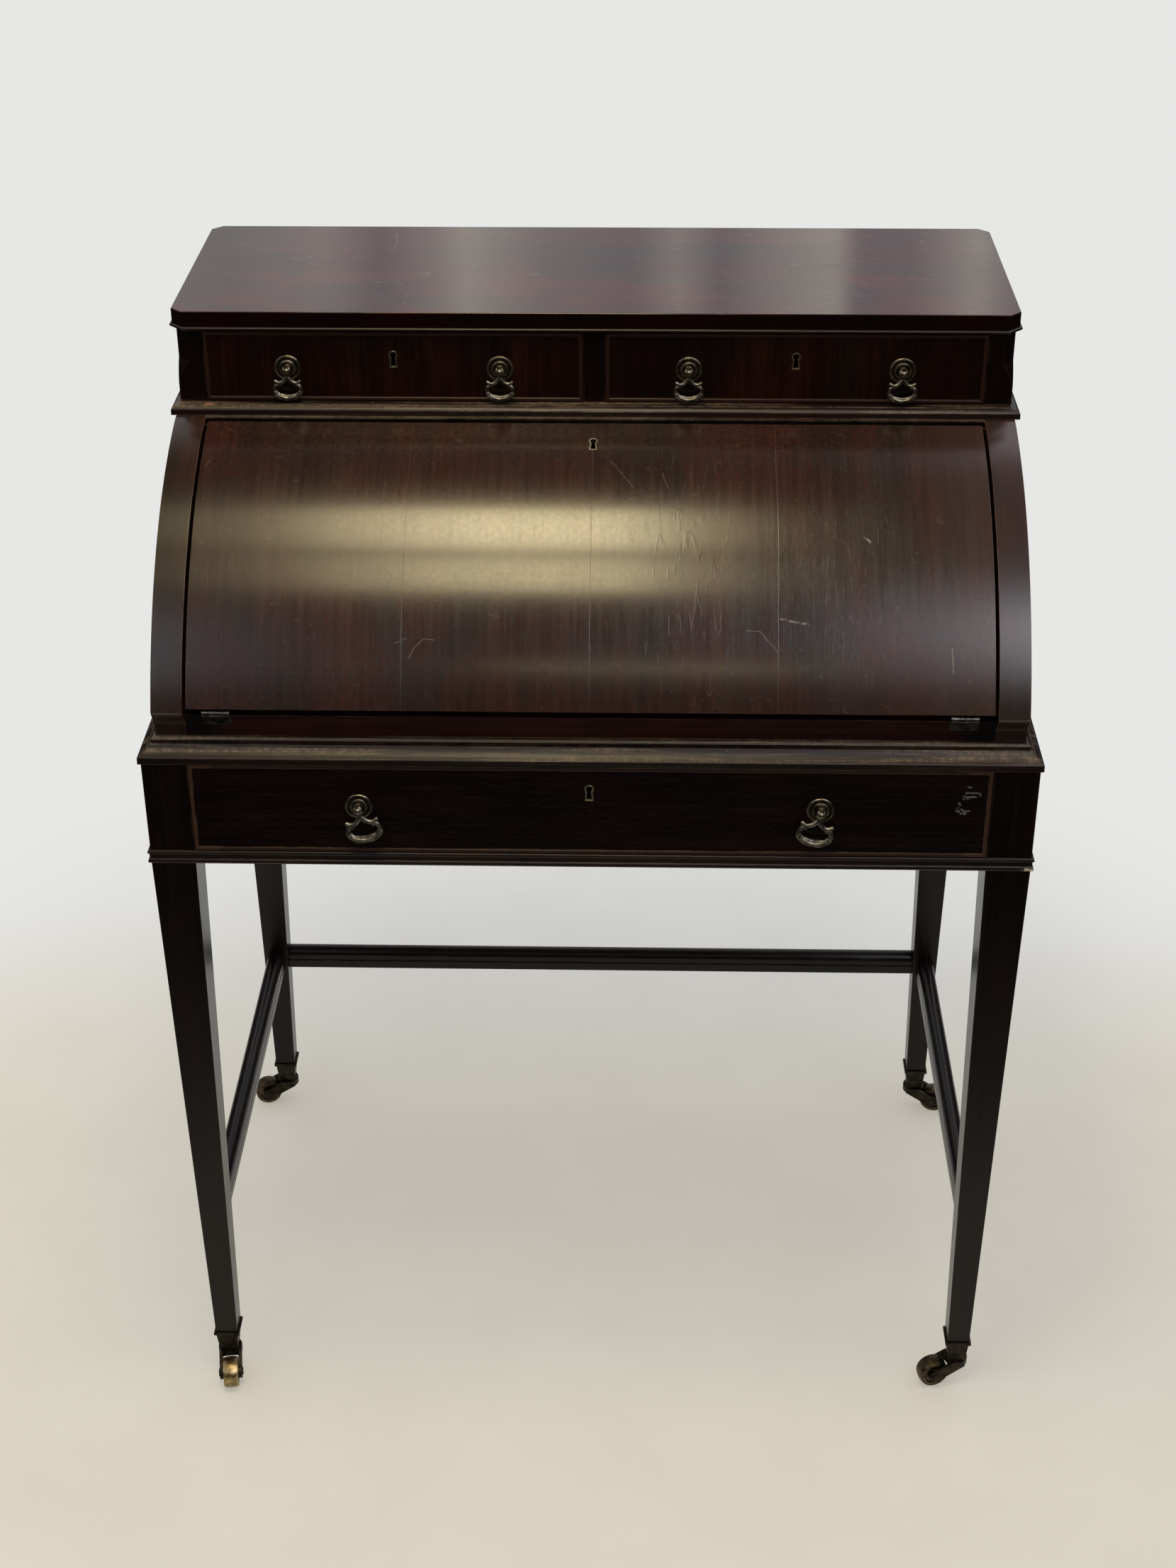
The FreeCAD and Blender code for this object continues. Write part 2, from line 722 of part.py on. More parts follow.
def make_rail_leaf(x):
    """The hinge's leaf on the rail, with the two outer knuckles."""
    plate_y = hinge[0] + knuckle_radius - leaf_thickness
    leaf = box(x - hinge_length / 2, x + hinge_length / 2, plate_y, plate_y + leaf_thickness,
               hinge[1] - leaf_width, hinge[1])
    notch = hinge_length / knuckle_count / 2 + knuckle_gap / 2
    leaf = leaf.cut(box(x - notch, x + notch, plate_y - cut_overrun, plate_y + leaf_thickness + cut_overrun,
                        hinge[1] - knuckle_radius - seat_gap, hinge[1] + cut_overrun))
    knuckles = [knuckle_rod(x, third, knuckle_radius, knuckle_gap) for third in (0, 2)]
    return fused([leaf] + knuckles).cut(hinge_bore(x))


def make_hinge_pin(x):
    return rod(vec(x - hinge_length / 2, *hinge), vec(1, 0, 0), hinge_pin_radius, hinge_length)


def fall_leaf_plate(x, grown):
    """Plate let into the fall's inner face from the hinge line up, grown by a clearance."""
    low, high = hinge_inward + knuckle_radius - leaf_thickness - grown, hinge_inward + knuckle_radius
    far = hinge_along + leaf_width + grown
    half = hinge_length / 2 + grown
    return board_prism(hinge_along, far, low, high, x - half, x + half)


def make_fall_leaf(x):
    """The hinge's leaf on the fall, with the middle knuckle."""
    leaf = fall_leaf_plate(x, 0)
    for third in (0, 2):
        leaf = leaf.cut(knuckle_rod(x, third, knuckle_radius + leaf_thickness, -knuckle_gap))
    return fused([leaf, knuckle_rod(x, 1, knuckle_radius, knuckle_gap)]).cut(hinge_bore(x))


def without_leaves(shape):
    """Cut the seats of the fall's hinge leaves."""
    for x in (-hinge_centre, hinge_centre):
        shape = shape.cut(fall_leaf_plate(x, glue_gap))
    return shape


def fall_frame(shape):
    """Carry a shape modelled against an upright panel to the fall's upper edge."""
    shape.rotate(vec(0, 0, 0), vec(1, 0, 0), -math.degrees(fall_high))
    edge = polar(fall_outer, fall_high)
    shape.translate(vec(0, *edge))
    return shape


def key_frame(shape):
    """Carry a keyhole piece modelled against an upright panel to its place on the fall's curve."""
    angle = fall_high - fall_key_drop / fall_outer
    shape.translate(vec(0, 0, fall_key_drop))
    shape.rotate(vec(0, 0, 0), vec(1, 0, 0), -math.degrees(angle))
    shape.translate(vec(0, *polar(fall_outer, angle)))
    return shape


def make_fall_front():
    middle = (fall_low + fall_high) / 2
    outline = [polar(fall_outer, fall_low), (polar(fall_outer, middle), polar(fall_outer, fall_high)),
               polar(fall_inner, fall_high), (polar(fall_inner, middle), polar(fall_inner, fall_low))]
    shell = prism_x(outline, -fall_x, fall_x)
    shell = shell.cut(fall_frame(lock_pocket(fall_thickness)))
    for shape in (keyhole_shape(fall_key_drop, escutcheon_wall, escutcheon_depth),
                  keyhole_shape(fall_key_drop, 0, fall_thickness)):
        shell = shell.cut(key_frame(shape))
    return without_leaves(shell)


def lens(x0, x1):
    """The hollow between the fall's curve and its flat inner face."""
    middle = polar(fall_inner - glue_gap, (fall_low + fall_high) / 2)
    return prism_x([board_low, (middle, board_high)], x0, x1)


def make_fall_ends():
    return both_sides(without_leaves(lens(fall_x - fall_rib, fall_x)))


def make_fall_board():
    inside = fall_x - fall_rib
    plank = board_prism(-cut_overrun, board_length + cut_overrun, -fall_board_thickness, 0, -inside, inside)
    board = plank.common(lens(-inside, inside))
    return without_leaves(board.cut(make_leather()))


def make_leather():
    inside = fall_x - leather_margin
    return board_prism(leather_margin, board_length - leather_margin, -leather_thickness, 0, -inside, inside)


def make_lug():
    """Plate on the fall's inner face, with the eye pin that takes the stay."""
    x0 = link_x - stay_layer_gap - lug_thickness
    x1 = x0 + lug_thickness
    half = lug_foot_length / 2
    foot = board_prism(lug_along - half, lug_along + half, 0, lug_foot_thickness, x1 - lug_foot_width, x1)
    web = board_prism(lug_along - lug_half_width, lug_along + lug_half_width, 0, stay_rise, x0, x1)
    eye = rod(vec(x0, *stay_lug), vec(1, 0, 0), lug_half_width, lug_thickness)
    pin = rod(vec(x0, *stay_lug), vec(1, 0, 0), stay_pin_radius,
              lug_thickness + stay_layer_gap + stay_thickness)
    return fused([foot, web, eye, pin])


def bar_between(p, q, x0, thickness):
    """Flat round-ended link between two pivots."""
    length = math.dist(p, q)
    across = ((p[1] - q[1]) * stay_half_width / length, (q[0] - p[0]) * stay_half_width / length)
    middle = prism_x([(p[0] + across[0], p[1] + across[1]), (q[0] + across[0], q[1] + across[1]),
                      (q[0] - across[0], q[1] - across[1]), (p[0] - across[0], p[1] - across[1])],
                     x0, x0 + thickness)
    ends = [rod(vec(x0, *point), vec(1, 0, 0), stay_half_width, thickness) for point in (p, q)]
    return fused([middle] + ends)


def make_stay_arm():
    bar = bar_between(stay_root, stay_elbow, arm_x, stay_thickness)
    pivot = rod(vec(arm_x, *stay_root), vec(1, 0, 0), stay_pivot_radius,
                stay_thickness + stay_side_gap + stay_pivot_depth - seat_gap)
    reach = stay_layer_gap + stay_thickness + seat_gap
    pin = rod(vec(arm_x - reach, *stay_elbow), vec(1, 0, 0), stay_pin_radius, reach + stay_thickness)
    head = rod(vec(arm_x - reach - stay_head_thickness, *stay_elbow), vec(1, 0, 0), stay_head_radius,
               stay_head_thickness)
    return fused([bar, pivot, pin, head])


def make_stay_link():
    link = bar_between(stay_lug, stay_elbow, link_x, stay_thickness)
    for point, room in ((stay_lug, stay_open_clearance), (stay_elbow, pin_clearance)):
        link = link.cut(rod(vec(link_x - cut_overrun, *point), vec(1, 0, 0), stay_pin_radius + room,
                            stay_thickness + 2 * cut_overrun))
    return link


# Locks are modelled against an upright panel: y from its front, z down from its upper edge, x from its middle
def keyhole_shape(drop, wall, depth):
    """Keyhole outline grown by a wall, as a cutter from the front of the panel."""
    eye = rod(vec(0, -cut_overrun, -drop), vec(0, 1, 0), keyhole_radius + wall, depth + cut_overrun)
    foot = -drop - keyhole_length + keyhole_radius - wall
    neck = keyhole_neck_half + wall
    spread = keyhole_foot_half + wall
    slot = prism_y([(-neck, -drop), (neck, -drop), (spread, foot), (-spread, foot)], -cut_overrun, depth)
    return fused([eye, slot])


def lock_pocket(panel):
    return box(-lock_width / 2 - glue_gap, lock_width / 2 + glue_gap, panel - lock_thickness - glue_gap,
               panel + 2 * cut_overrun, -lock_height - glue_gap, cut_overrun)


def make_escutcheon(drop):
    ring = keyhole_shape(drop, escutcheon_wall - glue_gap, escutcheon_depth - glue_gap)
    ring = ring.cut(keyhole_shape(drop, 0, 2 * escutcheon_depth))
    return ring.common(box(-lock_width, lock_width, 0, escutcheon_depth, -2 * lock_height, 0))


def make_lock_case(panel, drop):
    """Lock box let into the back of a panel, with a channel for its bolt and the key's hole."""
    case = box(-lock_width / 2, lock_width / 2, panel - lock_thickness, panel, -lock_height, 0)
    half = bolt_width / 2 + bolt_gap
    y0 = panel - lock_thickness + lock_wall
    channel = box(-half, half, y0, y0 + bolt_thickness + 2 * bolt_gap,
                  -bolt_length - 2 * bolt_gap, cut_overrun)
    hole = keyhole_shape(drop, 0, panel - lock_wall)
    return case.cut(channel).cut(hole)


def make_bolt(panel):
    y0 = panel - lock_thickness + lock_wall + bolt_gap
    return box(-bolt_width / 2, bolt_width / 2, y0, y0 + bolt_thickness, -bolt_length - bolt_gap, -bolt_gap)


def bolt_pocket(x, front, z):
    """Mortise above a shut drawer's lock bolt."""
    y0 = front + drawer_front_thickness - lock_thickness + lock_wall + bolt_gap - mortise_gap
    half = bolt_width / 2 + mortise_gap
    y1 = y0 + bolt_thickness + 2 * mortise_gap
    return box(x - half, x + half, y0, y1, z - cut_overrun, z + bolt_travel)


def fall_bolt_pocket():
    y0 = fall_thickness - lock_thickness + lock_wall + bolt_gap - mortise_gap
    half = bolt_width / 2 + mortise_gap
    y1 = y0 + bolt_thickness + 2 * mortise_gap
    return fall_frame(box(-half, half, y0, y1, -cut_overrun, bolt_travel + mortise_gap))


# Handles are modelled at the middle of their rosette: x across, y in front of the panel negative, z up
def make_handle_post():
    """Ringed rosette with a slotted ball and the pin that the bail hangs on."""
    profile = [(0, 0)] + [(r * rosette_radius, -h * rosette_thickness) for r, h in rosette_shares]
    rosette = outline_face(profile, on_xy).revolve(vec(0, 0, 0), vec(0, 1, 0), 360)
    post = rod(vec(0, 0, 0), vec(0, -1, 0), post_radius, ball_reach)
    ball = Part.makeSphere(ball_radius, vec(0, -ball_reach, 0))
    half = bail_plate / 2 + bail_slot_gap
    room = bail_eye_radius + bail_slot_gap
    clear = 2 * ball_radius
    slot = box(-half, half, -ball_reach - clear, room - ball_reach, -clear, clear)
    pin_half = (ball_radius + half) / 2
    pin = rod(vec(-pin_half, -ball_reach, 0), vec(1, 0, 0), bail_pin_radius, 2 * pin_half)
    return fused([fused([rosette, post, ball]).cut(slot), pin])


def half_outline(shares, width, drop):
    """Right half of a bail's outline, closed over to the left half by mirroring."""
    def scaled(point, side):
        return (side * point[0] * width, -point[1] * drop)
    right = [scaled(shares[0][0], 1)]
    for corner, through in shares[1:]:
        end = scaled(corner, 1)
        right.append(end if through is None else (scaled(through, 1), end))
    left = []
    for i in range(len(shares) - 1, 0, -1):
        end = scaled(shares[i - 1][0], -1)
        through = shares[i][1]
        left.append(end if through is None else (scaled(through, -1), end))
    return right + left


def make_bail(size):
    half = bail_plate / 2
    hoop = prism_y(half_outline(bail_outer_shares, **size), -half, half)
    hole = prism_y(half_outline(bail_inner_shares, **size), -bail_plate, bail_plate)
    neck_half = bail_plate / 2
    neck_z = -bail_outer_shares[0][0][1] * size["drop"]
    neck = box(-neck_half, neck_half, -bail_eye_radius, bail_eye_radius, neck_z - half, 0)
    eye = rod(vec(-neck_half, 0, 0), vec(1, 0, 0), bail_eye_radius, bail_plate)
    bore = rod(vec(-bail_plate, 0, 0), vec(1, 0, 0), bail_pin_radius + pin_clearance, 2 * bail_plate)
    bail = fused([hoop.cut(hole), neck, eye]).cut(bore)
    bail.translate(vec(0, -ball_reach, 0))
    return bail


# Drawer places: middle, half width, lower edge, height and front plane
long_drawer_half = frieze_x - leg_width - drawer_gap
long_drawer_low = frame_z + band_height + drawer_gap
long_drawer_height = table_underside - drawer_gap - long_drawer_low
long_front_y = frieze_y
long_drawer_depth = back_y - rail_thickness - long_drawer_back_room - long_front_y
small_drawer_x = (case_outer - case_end_thickness + case_divider / 2) / 2
small_drawer_half = (case_outer - case_end_thickness - case_divider / 2) / 2 - drawer_gap
small_drawer_low = case_z + drawer_gap
small_drawer_height = sub_top_z - drawer_gap - small_drawer_low
small_drawer_depth = panel_y - small_drawer_back_room - case_y
small_drawer = {"half": small_drawer_half, "low": small_drawer_low, "height": small_drawer_height,
                "front": case_y, "depth": small_drawer_depth, "drop": drawer_gap - seat_gap}
drawers = {
    "left_drawer": {"x": -small_drawer_x, **small_drawer},
    "right_drawer": {"x": small_drawer_x, **small_drawer},
    "long_drawer": {"x": 0, "half": long_drawer_half, "low": long_drawer_low, "height": long_drawer_height,
                    "front": long_front_y, "depth": long_drawer_depth, "drop": 0},
}
handle_places = {
    "left_drawer": [("outer", -small_handle_x, small_handle_rise, 0, small_bail),
                    ("inner", small_handle_x, small_handle_rise, 0, small_bail)],
    "right_drawer": [("inner", -small_handle_x, small_handle_rise, 0, small_bail),
                     ("outer", small_handle_x, small_handle_rise, 0, small_bail)],
    "long_drawer": [("left", -long_handle_x, long_handle_rise, -long_handle_tilt_deg, large_bail),
                    ("right", long_handle_x, long_handle_rise, long_handle_tilt_deg, large_bail)],
}


def make_drawer_front(d):
    """Panel with a cockbead let in round its face, bored for the lock and the key."""
    half, low, high = d["half"], d["low"], d["low"] + d["height"]
    y0 = d["front"]
    y1 = y0 + drawer_front_thickness
    w = cockbead_width
    inner = (-half + w, half - w)
    back = box(-half, half, y0 + cockbead_depth, y1, low, high)
    face = box(*inner, y0, y0 + cockbead_depth, low + w, high - w)
    panel = fused([back, face])
    ring = box(-half, half, y0 - cockbead_proud, y0 + cockbead_depth, low, high)
    ring = ring.cut(box(*inner, y0 - 2 * cockbead_proud, y1, low + w, high - w))
    nose = [e for e in ring.Edges if e.BoundBox.YMax < y0 - cockbead_proud + glue_gap]
    ring = ring.makeFillet(cockbead_round, nose)
    for cutter in (lock_pocket(drawer_front_thickness),
                   keyhole_shape(drawer_key_drop, escutcheon_wall, escutcheon_depth),
                   keyhole_shape(drawer_key_drop, 0, drawer_front_thickness)):
        cutter.translate(vec(0, y0, high))
        panel = panel.cut(cutter)
    room = lock_pocket(drawer_front_thickness)
    room.translate(vec(0, y0, high))
    return [panel, ring.cut(room)]


def make_drawer_box(d):
    """Two sides, a back and a bottom behind the front, open above."""
    half, low = d["half"], d["low"] - d["drop"]
    top = d["low"] + d["height"] - drawer_side_drop
    y0 = d["front"] + drawer_front_thickness
    y1 = d["front"] + d["depth"]
    inside = half - drawer_side
    side = box(inside, half, y0, y1, low, top)
    back = box(-inside, inside, y1 - drawer_back, y1, low + drawer_bottom_rise, top)
    bottom_top = low + drawer_bottom_rise
    bottom = box(-inside, inside, y0, y1, bottom_top - drawer_bottom, bottom_top)
    return both_sides(side) + [back, bottom]


def make_drawer_fittings(d, handles):
    """Brass on a drawer front: rosettes with their posts, the lock's case and the keyhole's lining."""
    high = d["low"] + d["height"]
    parts = []
    for _, x, rise, tilt, _ in handles:
        post = make_handle_post()
        post.rotate(vec(0, 0, 0), vec(0, 1, 0), tilt)
        post.translate(vec(x, d["front"], d["low"] + rise))
        parts.append(post)
    for part in (make_lock_case(drawer_front_thickness, drawer_key_drop), make_escutcheon(drawer_key_drop)):
        part.translate(vec(0, d["front"], high))
        parts.append(part)
    return parts


def placed(shapes, x):
    for shape in shapes:
        shape.translate(vec(x, 0, 0))
    return shapes


def drawer_nodes(name, d):
    handles = handle_places[name]
    bolt = make_bolt(drawer_front_thickness)
    bolt.translate(vec(0, d["front"], d["low"] + d["height"]))
    nodes = {name + "_front": make_drawer_front(d), name + "_box": make_drawer_box(d),
             name + "_fittings": make_drawer_fittings(d, handles), name + "_bolt": [bolt]}
    for side, x, rise, tilt, size in handles:
        bail = make_bail(size)
        bail.rotate(vec(0, 0, 0), vec(0, 1, 0), tilt)
        bail.translate(vec(x, d["front"], d["low"] + rise))
        nodes[name + "_" + side + "_bail"] = [bail]
    return {node: placed(shapes, d["x"]) for node, shapes in nodes.items()}


def carcass_nodes():
    legs = {"leg_" + name: make_leg(*place) for name, place in leg_places.items()}
    nodes = {name: [leg] for name, leg in legs.items()}
    nodes["castor_cups"] = [make_cup(*place) for place in leg_places.values()]
    nodes["stretchers"] = make_stretchers(list(legs.values()))
    nodes["base_rails"] = make_base_rails()
    nodes["base_bead"] = [make_band()]
    nodes["drawer_runners"] = make_runners()
    nodes["table_top"] = [make_table_top()]
    cheek = make_cheek()
    nodes["cheek_right"] = [cheek]
    nodes["cheek_left"] = [mirrored(cheek)]
    nodes["hinge_rail"] = [make_hinge_rail()]
    nodes["writing_bed"] = [make_bed()]
    nodes["back_panel"] = [box(-inner_x, inner_x, panel_y, back_y, bed_z, sub_top_z)]
    nodes["pigeonholes"] = make_pigeonholes()
    nodes["waist_board"] = make_waist()
    nodes["upper_uprights"] = make_uprights()
    nodes["sub_top"] = [make_sub_top()]
    nodes["top_board"] = [make_top_board()]
    return nodes


def fall_nodes():
    hinges = (-hinge_centre, hinge_centre)
    lock = [fall_frame(make_lock_case(fall_thickness, fall_key_drop)),
            key_frame(make_escutcheon(fall_key_drop))]
    arm, link = make_stay_arm(), make_stay_link()
    return {
        "hinge_leaves": [make_rail_leaf(x) for x in hinges] + [make_hinge_pin(x) for x in hinges],
        "fall_hinge_leaves": [make_fall_leaf(x) for x in hinges],
        "fall_front": [make_fall_front()],
        "fall_ends": make_fall_ends(),
        "fall_board": [make_fall_board()],
        "fall_leather": [make_leather()],
        "fall_lock": lock,
        "fall_bolt": [fall_frame(make_bolt(fall_thickness))],
        "stay_lugs": both_sides(make_lug()),
        "stay_arm_right": [arm],
        "stay_arm_left": [mirrored(arm)],
        "stay_link_right": [link],
        "stay_link_left": [mirrored(link)],
    }


def castor_nodes():
    nodes = {}
    for name in leg_places:
        nodes["castor_fork_" + name] = [make_fork(name)]
        nodes["castor_wheel_" + name] = [make_wheel(name)]
    return nodes


def main():
    nodes = {**carcass_nodes(), **fall_nodes(), **castor_nodes()}
    for name, d in drawers.items():
        nodes.update(drawer_nodes(name, d))
    os.makedirs("parts", exist_ok=True)
    for name, shapes in nodes.items():
        shape = shapes[0] if len(shapes) == 1 else Part.makeCompound(shapes)
        shape.exportStep(os.path.join("parts", name + ".step"))
    print(len(nodes), "nodes")


main()
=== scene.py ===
import json
import math
from functools import reduce

import bpy
from mathutils import Matrix, Vector


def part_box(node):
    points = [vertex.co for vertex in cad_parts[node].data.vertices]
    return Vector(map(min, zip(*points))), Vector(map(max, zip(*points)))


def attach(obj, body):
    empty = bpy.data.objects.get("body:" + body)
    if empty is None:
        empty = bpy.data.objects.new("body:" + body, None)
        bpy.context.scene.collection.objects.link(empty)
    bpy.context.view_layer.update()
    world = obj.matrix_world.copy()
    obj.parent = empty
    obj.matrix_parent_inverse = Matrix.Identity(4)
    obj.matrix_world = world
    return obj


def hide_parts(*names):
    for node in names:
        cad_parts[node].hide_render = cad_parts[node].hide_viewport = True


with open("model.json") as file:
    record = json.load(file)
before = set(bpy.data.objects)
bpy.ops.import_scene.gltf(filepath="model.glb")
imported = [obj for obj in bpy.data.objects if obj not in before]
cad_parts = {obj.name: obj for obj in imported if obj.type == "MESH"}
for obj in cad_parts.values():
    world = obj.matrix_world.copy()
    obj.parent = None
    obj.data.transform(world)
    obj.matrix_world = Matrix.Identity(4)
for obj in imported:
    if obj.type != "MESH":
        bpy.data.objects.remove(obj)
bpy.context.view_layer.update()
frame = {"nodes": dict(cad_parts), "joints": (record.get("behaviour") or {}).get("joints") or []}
nodes = frame["nodes"]
MM = 0.001

# Camera: place in metres, angles in radians, focal length and frame in pixels
camera_place = (0.045815, -2.09103, 1.81938)
camera_yaw = 0.0253
camera_pitch = -0.5307
camera_roll = -0.0039
camera_focal = 3356.8
frame_height = 2212.0
sensor_side = 36.0

# Surroundings. Here and below, a span says where a value starts and ends its change,
# and then what it changes from and to, which is zero and one if it isn't said
backdrop_colour = (0.80, 0.80, 0.79, 1.0)
near_glow = (0.75, 0.69, 0.575, 1.0)
room_colour = (0.018, 0.015, 0.012, 1.0)
right_window = (6.2, 6.2, 6.8, 1.0)
left_window = (1.6, 1.6, 1.75, 1.0)
fill_colour = (0.90, 0.95, 1.0, 1.0)
fill_span = (-0.1, 0.9, 0.25, 0.90)
# What a mirrored ray meets, by its direction: the backdrop behind, up to its sides, and two windows
wall_behind_span = (0.32, 0.68)
wall_side_span = (0.24, 0.50)
right_window_start = (0.115, 0.205)
right_window_end = (0.50, 0.80, 1.0, 0.25)
right_window_foot = (0.42, 0.76)
right_window_head = (0.76, 0.95, 1.0, 0.07)
left_window_start = (-0.15, -0.26)
left_window_low, left_window_high, left_window_soft = 0.48, 0.80, 0.10
# Folds of the backdrop, as polished tops mirror them: the ray's share to the right, and how lit the fold is
fold_reach = 0.20
fold_dark = (0.44, 0.44, 0.49)
fold_light = (1.22, 1.18, 1.08)
backdrop_folds = [(-0.20, 0.35), (-0.17, 0.25), (-0.13, 0.50), (-0.108, 0.05), (-0.085, 0.50), (-0.073, 0.95),
                  (-0.060, 0.65), (-0.040, 0.30), (-0.004, 0.10), (0.014, 0.60), (0.031, 0.05), (0.050, 0.45),
                  (0.078, 0.95), (0.087, 0.05), (0.109, 0.10), (0.125, 0.50), (0.135, 0.88), (0.150, 0.25),
                  (0.20, 0.35)]

# Lamp overhead: panes in rows, by middle y, depth and watts per square metre,
# and in columns, by low x, high x and share of light
lamp_colour = (1.0, 0.84, 0.50)
lamp_height = 2.6
lamp_rows = [(-0.315, 0.47, 50.0), (-0.88, 0.42, 36.0)]
lamp_columns = [(-0.76, -0.50, 0.08), (-0.50, -0.39, 0.42), (-0.39, -0.25, 0.72), (-0.25, 0.080, 1.0),
                (0.080, 0.22, 0.12)]
# A further pane in front: middle x, middle y, width, depth, watts
front_lamp = (0.05, -2.55, 0.60, 0.34, 1.6)

# Floor: a disc of cloth in two tones, which glows like the backdrop further out
floor_reach = 30.0
floor_corners = 96
floor_colour = (0.78, 0.745, 0.685, 1.0)
floor_shade = (0.73, 0.695, 0.635, 1.0)
floor_weave = {"scale": 6.0, "detail": 4.0}
weave_span = (0.3, 0.7)
# Where the glow grows, where its warm tone ends behind and all round, and where mirrored rays find it dark
floor_glow_span = (0.62, 1.25, 0.45, 1.0)
floor_back_span = (0.2, 0.7)
floor_fade_span = (1.6, 4.0)
floor_front_span = (-0.45, -0.75)
floor_side_span = (0.70, 1.10)

# Drawn lines and dots are whole up to these shares of their reach
line_core, dot_core = 0.3, 0.5
# The level that noises lie about, and the noise that breaks up hair scratches:
# its scale against theirs, and where it lets them through
noise_middle = 0.5
hair_break_scale = 2.1
hair_break_span = (0.54, 0.62)
# Samples of rubbed arrises, of rounded edges and of hollows
edge_samples, round_samples, cavity_samples = 6, 4, 8


def opaque(tone, share=1.0):
    """A tone, or a share of its light, for a colour socket."""
    return (*[min(1.0, c * share) for c in tone], 1.0)


class Shader:
    """A material's node tree, with short ways to add nodes and join them."""

    def __init__(self, name, tree=None):
        if tree is None:
            self.material = bpy.data.materials.new(name)
            self.material.use_nodes = True
            tree = self.material.node_tree
        self.tree = tree
        self.tree.nodes.clear()

    def add(self, kind, inputs=None, **settings):
        node = self.tree.nodes.new(kind)
        for key, value in settings.items():
            setattr(node, key, value)
        for key, value in (inputs or {}).items():
            self.feed(node.inputs[key], value)
        return node

    def feed(self, socket, value):
        if isinstance(value, bpy.types.NodeSocket):
            self.tree.links.new(value, socket)
        else:
            socket.default_value = value

    def math(self, operation, a, b=0.0):
        return self.add("ShaderNodeMath", {0: a, 1: b}, operation=operation).outputs[0]

    def times(self, *values):
        return reduce(lambda a, b: self.math("MULTIPLY", a, b), values)

    def plus(self, a, b):
        return self.math("ADD", a, b)

    def minus(self, a, b):
        return self.math("SUBTRACT", a, b)

    def most(self, *values):
        return reduce(lambda a, b: self.math("MAXIMUM", a, b), values)

    def least(self, *values):
        return reduce(lambda a, b: self.math("MINIMUM", a, b), values)

    def size(self, value):
        return self.math("ABSOLUTE", value)

    def mix(self, factor, a, b, blend="MIX"):
        node = self.add("ShaderNodeMix", {0: factor, 6: a, 7: b}, data_type="RGBA", blend_type=blend)
        return node.outputs[2]

    def mix_value(self, factor, a, b):
        node = self.add("ShaderNodeMix", {0: factor, 2: a, 3: b}, data_type="FLOAT")
        return node.outputs[0]

    def mix_vector(self, factor, a, b):
        node = self.add("ShaderNodeMix", {0: factor, 4: a, 5: b}, data_type="VECTOR")
        return node.outputs[1]

    def shaded(self, colour, level):
        """Colour times a level of grey."""
        return self.mix(1.0, colour, self.joined(level, level, level), "MULTIPLY")

    def scaled(self, vector, scale, shift=(0.0, 0.0, 0.0)):
        return self.add("ShaderNodeMapping", {"Vector": vector, "Scale": scale, "Location": shift}).outputs[0]

    def vector(self, operation, a, b, result=0):
        return self.add("ShaderNodeVectorMath", {0: a, 1: b}, operation=operation).outputs[result]

    def length(self, vector):
        return self.add("ShaderNodeVectorMath", {0: vector}, operation="LENGTH").outputs["Value"]

    def shaken(self, vector, push, reach):
        """Vector moved by a push of up to reach along each axis."""
        node = self.add("ShaderNodeVectorMath", {0: push, 1: reach, 2: vector}, operation="MULTIPLY_ADD")
        return node.outputs[0]

    def joined(self, x, y, z=0.0):
        return self.add("ShaderNodeCombineXYZ", {0: x, 1: y, 2: z}).outputs[0]

    def axes(self, vector):
        return self.add("ShaderNodeSeparateXYZ", {0: vector}).outputs

    def place(self):
        return self.add("ShaderNodeTexCoord").outputs["Object"]

    def facing(self):
        """The face's own direction, x, y and z."""
        return self.axes(self.add("ShaderNodeTexCoord").outputs["Normal"])

    def span(self, value, low, high, out_low=0.0, out_high=1.0):
        """Value carried from low..high to out_low..out_high, eased and clamped."""
        node = self.add("ShaderNodeMapRange", {"Value": value, "From Min": low, "From Max": high,
                                               "To Min": out_low, "To Max": out_high},
                        interpolation_type="SMOOTHSTEP")
        return node.outputs[0]

    def fading(self, value, whole, gone):
        """One up to whole, zero from gone on."""
        return self.span(value, whole, gone, 1.0, 0.0)

    def within(self, value, low, high, soft):
        """One between low and high, zero outside, with soft edges."""
        up = self.span(value, low - soft, low + soft)
        return self.times(up, self.fading(value, high - soft, high + soft))

    def ramp(self, value, stops):
        node = self.add("ShaderNodeValToRGB", {0: value})
        elements = node.color_ramp.elements
        while len(elements) < len(stops):
            elements.new(0.5)
        for element, (place, tone) in zip(elements, stops):
            element.position = place
            element.color = (*tone, 1.0)
        return node.outputs[0]

    def noise(self, vector, scale=1.0, detail=4.0, rough=0.55, distortion=0.0, output="Fac"):
        node = self.add("ShaderNodeTexNoise", {"Vector": vector, "Scale": scale, "Detail": detail,
                                               "Roughness": rough, "Distortion": distortion})
        return node.outputs[output]

    def ragged(self, vector, scale, low, high):
        """Mask of a fine noise, which breaks up a mark."""
        return self.span(self.noise(vector, scale=scale, detail=3.0), low, high)

    def cells(self, vector, scale):
        inputs = {"Vector": vector, "Scale": scale}
        return self.add("ShaderNodeTexVoronoi", inputs, feature="DISTANCE_TO_EDGE").outputs["Distance"]

    def specks(self, vector, scale, reach, share):
        """Mask of small dots in some cells of a scattered grid."""
        node = self.add("ShaderNodeTexVoronoi", {"Vector": vector, "Scale": scale}, feature="F1")
        dot = self.fading(node.outputs["Distance"], dot_core * reach, reach)
        lot = self.axes(node.outputs["Color"])[0]
        return self.times(dot, self.math("LESS_THAN", lot, share))

